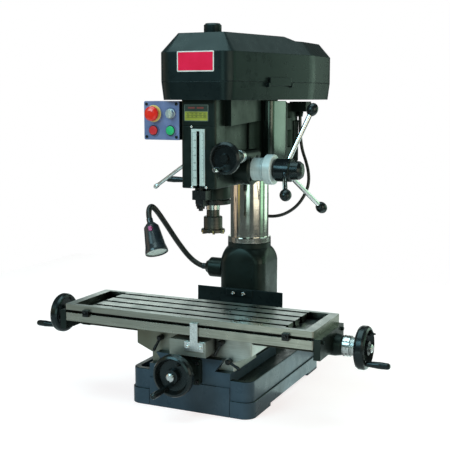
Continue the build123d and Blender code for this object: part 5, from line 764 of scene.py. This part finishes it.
bars("chart_rules", heading_bars, FRONT, (20, 4.4, 0.3), chart_brown, "head", "red_plastic")
plate("chart_field", field_place, FRONT, *FIELD, *LACQUER, chart_green, "head", "scale_plate")
chart_lines = [chart_front + (0, PROUD, rise) for rise in (0.2, -6.3, -12.9)]
bars("chart_lines", chart_lines, FRONT, (60, 0.9, 0.3), *HEAD_MARK)
chart_labels = [label for row in CHART_ROWS for label in row]
chart_places = [chart_front + (FIGURE_STEP * i, -0.2, rise) for rise in (-3.0, -9.6) for i in range(-2, 3)]
figures("chart_figures", chart_labels, chart_places, FRONT, 5.0, *HEAD_MARK)
print("plates on the front:", 2)

# %% [markdown]
# The depth scale
#
# The pale scale beside the stop's slot is ruled every two millimetres on both edges. Every fifth
# line is longer and every tenth the longest, which is one array of lengths chosen by the line's
# number. Three bright pan-head screws stand above and below it.

# %% Depth scale
SCALE_TOP, SCALE_LINES, SCALE_STEP, SCALE_HALF = 746.0, 66, 2.0, 19.0
LINE_WIDTH, LINE_RISE, DECADE_X = 0.6, 0.2, -8.6
scale_front_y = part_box("depth_scale")[0][1] / MM
line_number = np.arange(SCALE_LINES)
line_z = SCALE_TOP - SCALE_STEP * line_number
line_length = np.select([line_number % 10 == 0, line_number % 5 == 0], [7.5, 5.6], 3.8)
for side, name in ((-1, "scale_lines_left"), (1, "scale_lines_right")):
    line_x = side * (SCALE_HALF - line_length / 2)
    line_centres = np.column_stack([line_x, np.full(SCALE_LINES, scale_front_y), line_z])
    line_sizes = np.column_stack([line_length, np.full((SCALE_LINES, 2), (LINE_WIDTH, LINE_RISE))])
    bars(name, line_centres, FRONT, line_sizes, *HEAD_MARK)
decades = line_number[line_number % 10 == 0]
decade_places = [(DECADE_X, scale_front_y, SCALE_TOP - SCALE_STEP * n) for n in decades]
decade_labels = [str(int(n * SCALE_STEP)) for n in decades]
figures("scale_figures", decade_labels, decade_places, FRONT, 5.0, *HEAD_MARK)
PAN_SCREW = [(0, 3.7), (1.2, 3.7), (2.4, 2.8), (2.9, 1.5), (2.2, 1.1), (2.2, 0.05)]
SCALE_SCREWS = (
    ("scale_screw_top", -20.0, 762.0),
    ("scale_screw_left", -19.0, 601.0),
    ("scale_screw_right", 23.0, 601.0),
)
for name, x, z in SCALE_SCREWS:
    turned(name, (x, HEAD_FRONT_Y, z), FRONT, PAN_SCREW, chrome, "head")
print("scale lines:", 2 * SCALE_LINES)

# %% [markdown]
# Rings on the control panel
#
# The emergency stop stands on a yellow ring, whose hole leaves room for the pressed button. The
# push buttons sit in black bezels and the selector in a silver one. Each is a lathe piece whose
# profile closes on itself, so it has a hole.

# %% Control panel rings
PANEL_FRONT_Y = -206.0
LEFT_X, RIGHT_X, LOW_Z, HIGH_Z = -134.5, -82.5, 750.5, 795.5
YELLOW_RING = [(0.2, 22.8), (2.8, 22.8), (3.6, 21.8), (3.6, 15.2), (0.2, 15.2)]
STOP_PLACE = (LEFT_X, PANEL_FRONT_Y, HIGH_Z)
turned("stop_ring", STOP_PLACE, FRONT, YELLOW_RING, ring_yellow, "head", True)
BEZEL = [(0.2, 15.0), (2.6, 15.0), (4.5, 13.8), (4.5, 12.25), (0.2, 12.25)]
BEZELS = (
    ("stop_bezel", LEFT_X, LOW_Z, black_phenolic, "black_plastic"),
    ("start_bezel", RIGHT_X, LOW_Z, black_phenolic, "black_plastic"),
    ("selector_bezel", RIGHT_X, HIGH_Z, satin_silver, "selector_silver"),
)
for name, x, z, finish, slot in BEZELS:
    turned(name, (x, PANEL_FRONT_Y, z), FRONT, BEZEL, finish, "head", True)
print("rings on the panel:", 1 + len(BEZELS))

# %% [markdown]
# Dials of the table
#
# Each leadscrew ends in a graduated dial and a knurled collar that clamps it. The lines stand on
# the dial's rim, so each has its own axes: along the circle, along the screw and outwards. The
# knurl is cut by two sets of spiral grooves. Where they cross they leave diamonds, so the radius
# rises with the product of two waves that lean opposite ways.


# %% Dial lines, figures and knurls
def on_rim(spot, axes, radius, along, angle):
    """Places on a rim and their axes: backwards round the circle, back along the axis, and outwards."""
    outward = np.cos(angle)[:, None] * axes[0] + np.sin(angle)[:, None] * axes[1]
    round_way = np.sin(angle)[:, None] * axes[0] - np.cos(angle)[:, None] * axes[1]
    back = np.broadcast_to(-axes[2], outward.shape)
    places = np.asarray(spot, float) + np.asarray(along)[..., None] * axes[2] + radius * outward
    return places, np.stack([round_way, back, outward], axis=1)


def dial_marks(name, spot, axes, radius, start, count, labels, body, reach=(3.2, 5.0, 7.0), size=5.2):
    """Lines and figures round a dial: every fifth line longer, every tenth the longest and numbered."""
    number = np.arange(count)
    angle = number * 2 * np.pi / count
    length = np.select([number % 10 == 0, number % 5 == 0], [reach[2], reach[1]], reach[0])
    places, ways = on_rim(spot, axes, radius, start + length / 2, angle)
    sizes = np.column_stack([np.full(count, 0.5), length, np.full(count, 0.2)])
    bars(name + "_lines", places, ways, sizes, mark_black, body, "black_plastic")
    labelled = angle[:: count // len(labels)]
    places, ways = on_rim(spot, axes, radius, start + reach[2] + 0.7 * size, labelled)
    figures(name + "_figures", labels, places, ways, size, mark_black, body, "black_plastic", 0.25)


def knurl(name, spot, axes, start, end, radius, finish, body, slot):
    """A knurled ring: radius plus a ridge times the product of two waves, leaning left and right."""
    ridges, rows, lean, ridge, wall = 36, 19, 1.9, 0.75, 1.5
    along = np.linspace(start, end, rows)
    angle = np.linspace(0, 2 * np.pi, 8 * ridges, endpoint=False)
    slope = lean * (along - start)[:, None]
    waves = np.abs(np.cos(ridges / 2 * angle + slope) * np.cos(ridges / 2 * angle - slope))
    ends = np.minimum(1, 3 * np.minimum(along - start, end - along))[:, None]
    outside = circles(spot, axes, along, radius + ridge * waves * ends)
    inside = circles(spot, axes, [end, start], np.full((2, angle.size), radius - wall))
    return skin(name, np.concatenate([outside, inside]), finish, body, True)


TENS = [str(n) for n in range(0, 100, 10)]
# A dial's radius, the start of its lines and their number; a knurl's start, end and radius.
DIAL, KNURL = (27.0, 1.6, 100), (19.8, 32.0, 23.1)
DIALS = (
    ("left_dial", (-405.0, -186.0, 208.4), LEFT, "x_screw", turned_x),
    ("right_dial", (405.0, -186.0, 208.4), RIGHT, "x_screw", turned_x),
    ("cross_dial", (0.0, -305.0, 123.0), FRONT, "y_screw", turned_y),
)
for name, spot, axes, body, finish in DIALS:
    dial_marks(name, spot, axes, *DIAL, TENS, body)
    knurl(name + "_knurl", spot, axes, *KNURL, finish, body, "polished_steel")
print("dials:", len(DIALS))

# %% [markdown]
# Feed dials of the head
#
# The coarse feed has a large dial on the capstan's axis. The fine feed's wheel has a bright dial
# ring behind it, a fixed ring on the tube it turns in, and a plated crank handle. The handle is a
# second skin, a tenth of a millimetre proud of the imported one, because one solid holds both wheel
# and handle but they differ in finish.

# %% Feed dials and the fine-feed handle
FEED_AXIS = (0.0, -63.0, 643.0)
FEED_DIAL = (31.5, 126.0, 60)
dial_marks("feed_dial", FEED_AXIS, RIGHT, *FEED_DIAL, TENS[:6], "capstan")
fine_spot = np.array((84.0, -204.0, 681.0))
FINE_RING = [(0.6, 22.8), (4.4, 22.8), (6.9, 20.4), (6.9, 15.4), (0.6, 15.4)]
turned("fine_dial", fine_spot, FRONT, FINE_RING, satin_silver, "fine_feed", True)
TUBE_RING = [(-84.0, 17.2), (-83.2, 18.2), (-68.8, 18.2), (-68.0, 17.2), (-68.0, 15.6), (-84.0, 15.6)]
turned("fine_tube_ring", fine_spot, FRONT, TUBE_RING, satin_silver, "head", True)
HANDLE_AWAY = (-13.0, -7.4, -28.0)
HANDLE = [
    (7.6, 4.1), (21.0, 4.1), (23.0, 6.1), (30.0, 6.5),
    (42.9, 7.1), (47.0, 6.3), (49.1, 5.1), (49.2, 0.1),
]
turned("fine_handle", fine_spot + HANDLE_AWAY, FRONT, HANDLE, chrome, "fine_feed")
print("fine dial at", fine_spot.tolist())

# %% [markdown]
# Cutting inserts
#
# The face mill holds six carbide inserts, coated gold, each a small upright plate in its pocket
# with a screw through its middle. They use the rim places of the dial lines with the axes in
# another order, and each is set a little to one side, in its pocket.

# %% Carbide inserts
INSERTS = 6
INSERT_SIZE = (9.6, 10.0, 2.2)
INSERT_OUT, INSERT_BACK, INSERT_RISE = 29.2, 2.6, 4.7
INSERT_SCREW = [(0, 2.2), (0.5, 2.0), (0.5, 1.1), (0.1, 0.9), (0.1, 0.05)]
SPINDLE_Y = -118.0


def break_edges(piece, label, width):
    """A small round on every edge of a piece, by a Bevel modifier."""
    edges = piece.modifiers.new(label, "BEVEL")
    edges.width = width * MM
    edges.segments = 2


mill_foot = (0.0, SPINDLE_Y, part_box("face_mill")[0][2] / MM)
insert_angle = np.arange(INSERTS) * 2 * np.pi / INSERTS
rim_places, ways = on_rim(mill_foot, UPWARDS, INSERT_OUT, INSERT_RISE, insert_angle)
insert_axes = ways[:, ::-1] * [[1], [-1], [1]]
insert_centres = rim_places + INSERT_BACK * insert_axes[:, 2]
inserts = bars("inserts", insert_centres, insert_axes, INSERT_SIZE, carbide_gold, "spindle", "cutter_steel")
break_edges(inserts, "broken_edges", 0.5)
screw_seats = insert_centres + INSERT_SIZE[2] / 2 * insert_axes[:, 2]
for number, (seat, axes) in enumerate(zip(screw_seats, insert_axes), 1):
    turned(f"insert_screw_{number}", seat, axes, INSERT_SCREW, plain_steel, "spindle")
print("inserts:", INSERTS)

# %% [markdown]
# Motor fins
#
# The motor's shell is cooled by shallow upright ribs round its back and sides, and air goes in
# through slots in the fan cover at its lower end; the slots are thin black blocks, painted shade for
# their dark insides. Both are rows of blocks set round the motor's axis with the same rim places as
# the dial lines.

# %% Motor fins and slots
MOTOR_AXIS = (0.0, 320.0, 0.0)
FIN_RADIUS, FIN_Z, FIN_SIZE = 79.2, 704.0, (3.2, 128.0, 4.2)
SLOT_RADIUS, SLOT_Z, SLOT_SIZE = 76.0, 618.0, (5.0, 22.0, 0.3)
fin_angle = np.radians(np.linspace(-12, 192, 31))
fin_places, fin_ways = on_rim(MOTOR_AXIS, UPWARDS, FIN_RADIUS, FIN_Z, fin_angle)
fins = bars("motor_fins", fin_places, fin_ways, FIN_SIZE, motor_paint, "head", "motor_paint")
break_edges(fins, "cast_edges", 1.0)
slot_angle = np.radians(np.arange(0, 360, 15))
slot_places, slot_ways = on_rim(MOTOR_AXIS, UPWARDS, SLOT_RADIUS, SLOT_Z, slot_angle)
# Thin black blocks on the fan cover: painted shade for the slots' dark insides.
bars("fan_slot_shades", slot_places, slot_ways, SLOT_SIZE, *HEAD_MARK)
print("fins:", len(fin_angle), "slots:", len(slot_angle))

# %% [markdown]
# The boss on the head's right side
#
# Beside the column the head swells into an upright boss with round corners. Its glossy paint
# mirrors the room in upright stripes: dark in front, brown on the round corner and pale on the
# side. It is made as rings stacked upwards. Each ring is a rectangle whose four corners are
# quarter circles, and its left side lies inside the casting.

# %% Clamp boss
BOSS_SIZE, BOSS_CENTRE, BOSS_CORNER = (37.0, 100.0), np.array((86.5, 117.0)), 16.0
BOSS_SLANT = 0.10
BOSS_LEVELS = [(624.0, 5.0), (625.5, 2.0), (629.0, 0.0), (828.6, 0.0)]


def boss_ring(height, inset):
    """A rectangle at one height: each quarter of a circle moves out to its own corner.

    Then every point moves right by the slant times how far back it lies."""
    circle, centre = corner_circle(*BOSS_SIZE, BOSS_CORNER)
    flat = BOSS_CENTRE + centre + (BOSS_CORNER - inset) * circle
    flat[:, 0] += BOSS_SLANT * (flat[:, 1] - BOSS_CENTRE[1])
    return np.column_stack([flat, np.full(ROUND, height)])


boss_paint = enamel("boss_paint", *CASTING_TONES, 0.95, (0.13, 0.21), 0.06, 0.03, 0.0018)
boss_rings = np.stack([boss_ring(height, inset) for height, inset in BOSS_LEVELS])
skin("clamp_boss", boss_rings, boss_paint, "head")
print("boss:", BOSS_SIZE)

# %% [markdown]
# The lamp's gooseneck
#
# The arm is a coiled steel tube in a black sleeve: fine ribs run round it, a few millimetres apart.
# Its line follows the points of its route: between the middles of two runs it is a quadratic curve
# with the point between them as its handle. Rings stand on that line at even steps, and their
# radius rises and falls with the ribs. A short collar ends it at either side.

# %% Gooseneck
NECK_START = np.array((-129.5, 112.0, 322.0))
NECK_ROUTE = NECK_START + np.array(
    [
        (0, 0, 0), (-24, 0, 0), (-56.5, -9, 23), (-86.5, -32, 74),
        (-110.5, -57, 128), (-125.5, -84, 170), (-129.5, -104, 188), (-129.5, -122, 193.5),
        (-126.5, -139, 186), (-120.5, -151, 168), (-109.5, -159, 145.5),
    ]
)
NECK_RADIUS, RIB_HEIGHT, RIB_PITCH, RIB_STEPS = 7.9, 0.6, 3.0, 4
NECK_SIDE = np.array((0.3, 0.8, 0.5))


def smooth_line(points, steps=12):
    """Quadratic curves from middle to middle of the runs, with the route's points as their handles."""
    middle = (points[:-1] + points[1:]) / 2
    t = np.linspace(0, 1, steps, endpoint=False)[:, None]
    curve = (1 - t) ** 2 * middle[:-1, None] + 2 * t * (1 - t) * points[1:-1, None] + t**2 * middle[1:, None]
    return np.vstack([points[:1], curve.reshape(-1, 3), middle[-1:], points[-1:]])


def even_steps(line, step):
    """The same line with its points an even step apart, measured along it."""
    reach = np.concatenate([[0], np.cumsum(np.linalg.norm(np.diff(line, axis=0), axis=1))])
    stops = np.linspace(0, reach[-1], int(reach[-1] / step) + 1)
    return np.stack([np.interp(stops, reach, line[:, k]) for k in range(3)], axis=-1)


def tube_rings(line, radius, side, count=32):
    """Circles across a line: the side direction, made square to the line, and their cross product."""
    along = np.gradient(line, axis=0)
    along /= np.linalg.norm(along, axis=1)[:, None]
    first = side - (along @ side)[:, None] * along
    first /= np.linalg.norm(first, axis=1)[:, None]
    second = np.cross(along, first)
    angle = np.linspace(0, 2 * np.pi, count, endpoint=False)[:, None]
    circle = np.cos(angle) * first[:, None] + np.sin(angle) * second[:, None]
    return line[:, None] + radius[:, None, None] * circle


neck_line = even_steps(smooth_line(NECK_ROUTE), RIB_PITCH / RIB_STEPS)
neck_step = np.arange(len(neck_line))
neck_radius = NECK_RADIUS + RIB_HEIGHT * np.sin(np.pi * neck_step / RIB_STEPS) ** 2
neck_rings = tube_rings(neck_line, neck_radius, NECK_SIDE)
neck = skin("gooseneck_arm", neck_rings, sleeve_rubber, "base")
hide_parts("gooseneck")
FERRULE_LENGTH, FERRULE_RADIUS, FERRULE_END = 18.0, 9.6, 8.9
ferrule_rows = int(FERRULE_LENGTH / RIB_PITCH * RIB_STEPS)
ferrule_shape = np.full(ferrule_rows, FERRULE_RADIUS)
ferrule_shape[[0, -1]] = FERRULE_END
ferrules = {"mount_ferrule": neck_line[:ferrule_rows], "lamp_ferrule": neck_line[-ferrule_rows:]}
for name, stretch in ferrules.items():
    skin(name, tube_rings(stretch, ferrule_shape, NECK_SIDE), lamp_shell, "base")
print("gooseneck rings:", len(neck_line))

# %% [markdown]
# Threads of the leadscrews
#
# Under the table and the saddle run two screws with a square-shouldered thread. The radius at a
# place depends on how far along the screw it is, less the share of the pitch that the turn has
# used up: near the middle of each pitch it stands on the ridge, and slopes fall off to both sides.


# %% Leadscrew threads
def thread(name, spot, axes, length, core, ridge, pitch, finish, body):
    """A screw thread: core radius plus a ridge where the place along, less the turn, is mid-pitch."""
    steps, count, half, slope = 8, 24, 0.30, 0.14
    along = np.linspace(0, length, int(length / pitch * steps) + 1)
    turn = np.linspace(0, 1, count, endpoint=False)
    share = (along[:, None] / pitch - turn) % 1.0
    rise = np.clip((half - np.abs(share - 0.5)) / slope, 0, 1)
    return skin(name, circles(spot, axes, along, core + ridge * rise), finish, body)


THREAD = (10.03, 0.9, 5.0)
BACKWARDS = FRONT * [[-1], [1], [-1]]
thread("long_thread", (-378.0, -186.0, 208.4), RIGHT, 756.0, *THREAD, turned_x, "x_screw")
thread("cross_thread", (0.0, -262.0, 123.0), BACKWARDS, 280.0, *THREAD, turned_y, "y_screw")
print("thread:", THREAD)

# %% [markdown]
# Bright screws of the strip
#
# Two plated screws hold the strip to the sheet guard behind the table. Their packed heads are
# black, so a plated cap with a round socket is set over each.

# %% Strip screws
strip_front_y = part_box("way_guard")[0][1] / MM
CAP_SCREW = [(0, 5.3), (4.4, 5.3), (5.3, 4.6), (5.3, 2.9), (3.6, 2.7), (3.6, 0.05)]
STRIP_SCREW_X, STRIP_SCREW_Z = 16.5, 260.0
for name, side in (("strip_screw_left", -1), ("strip_screw_right", 1)):
    spot = (side * STRIP_SCREW_X, strip_front_y, STRIP_SCREW_Z)
    turned(name, spot, FRONT, CAP_SCREW, chrome, "base")
print("strip screws at", strip_front_y)

# %% [markdown]
# The motor's cable
#
# A rubber cable leaves a gland under the motor's terminal box, hangs in a loop behind the column
# and rises to the back of the control box. It is a NURBS curve with the points of its route as
# handles: it starts and ends in them and passes near the others, as a stiff cable does.

# %% Cable
CABLE_POINTS = [
    (86, 336, 779), (86, 336, 745), (89.5, 335, 702), (97, 333, 669),
    (110, 329, 640), (122, 322, 605), (126, 312, 570), (118, 302, 538),
    (99, 292, 505), (72, 282, 482), (42, 272, 469), (5, 261, 467),
    (-32, 247, 481), (-67, 228, 506), (-95, 200, 540), (-115, 164, 577),
    (-126, 122, 611), (-128, 78, 645), (-125, 34, 683), (-120, -10, 719),
    (-115, -53, 748), (-111.5, -83, 763), (-111.5, -117, 763),
]
CABLE_RADIUS = 5.0
cable_route = np.array(CABLE_POINTS) * MM
cable_line = bpy.data.curves.new("motor_cable_line", "CURVE")
cable_line.dimensions = "3D"
cable_spline = cable_line.splines.new("NURBS")
cable_spline.points.add(len(CABLE_POINTS) - 1)
weighted = np.column_stack([cable_route, np.ones(len(CABLE_POINTS))])
cable_spline.points.foreach_set("co", weighted.ravel())
cable_spline.order_u = 3
cable_spline.use_endpoint_u = True
cable_spline.resolution_u = 12
cable_line.bevel_depth = CABLE_RADIUS * MM
cable_line.bevel_resolution = 5
cable_line.use_fill_caps = True
cable_line.materials.append(cable_rubber)
cable = add_object("motor_cable_drawn", cable_line)
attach(cable, "head")
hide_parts("motor_cable")
print("cable points:", len(CABLE_POINTS))
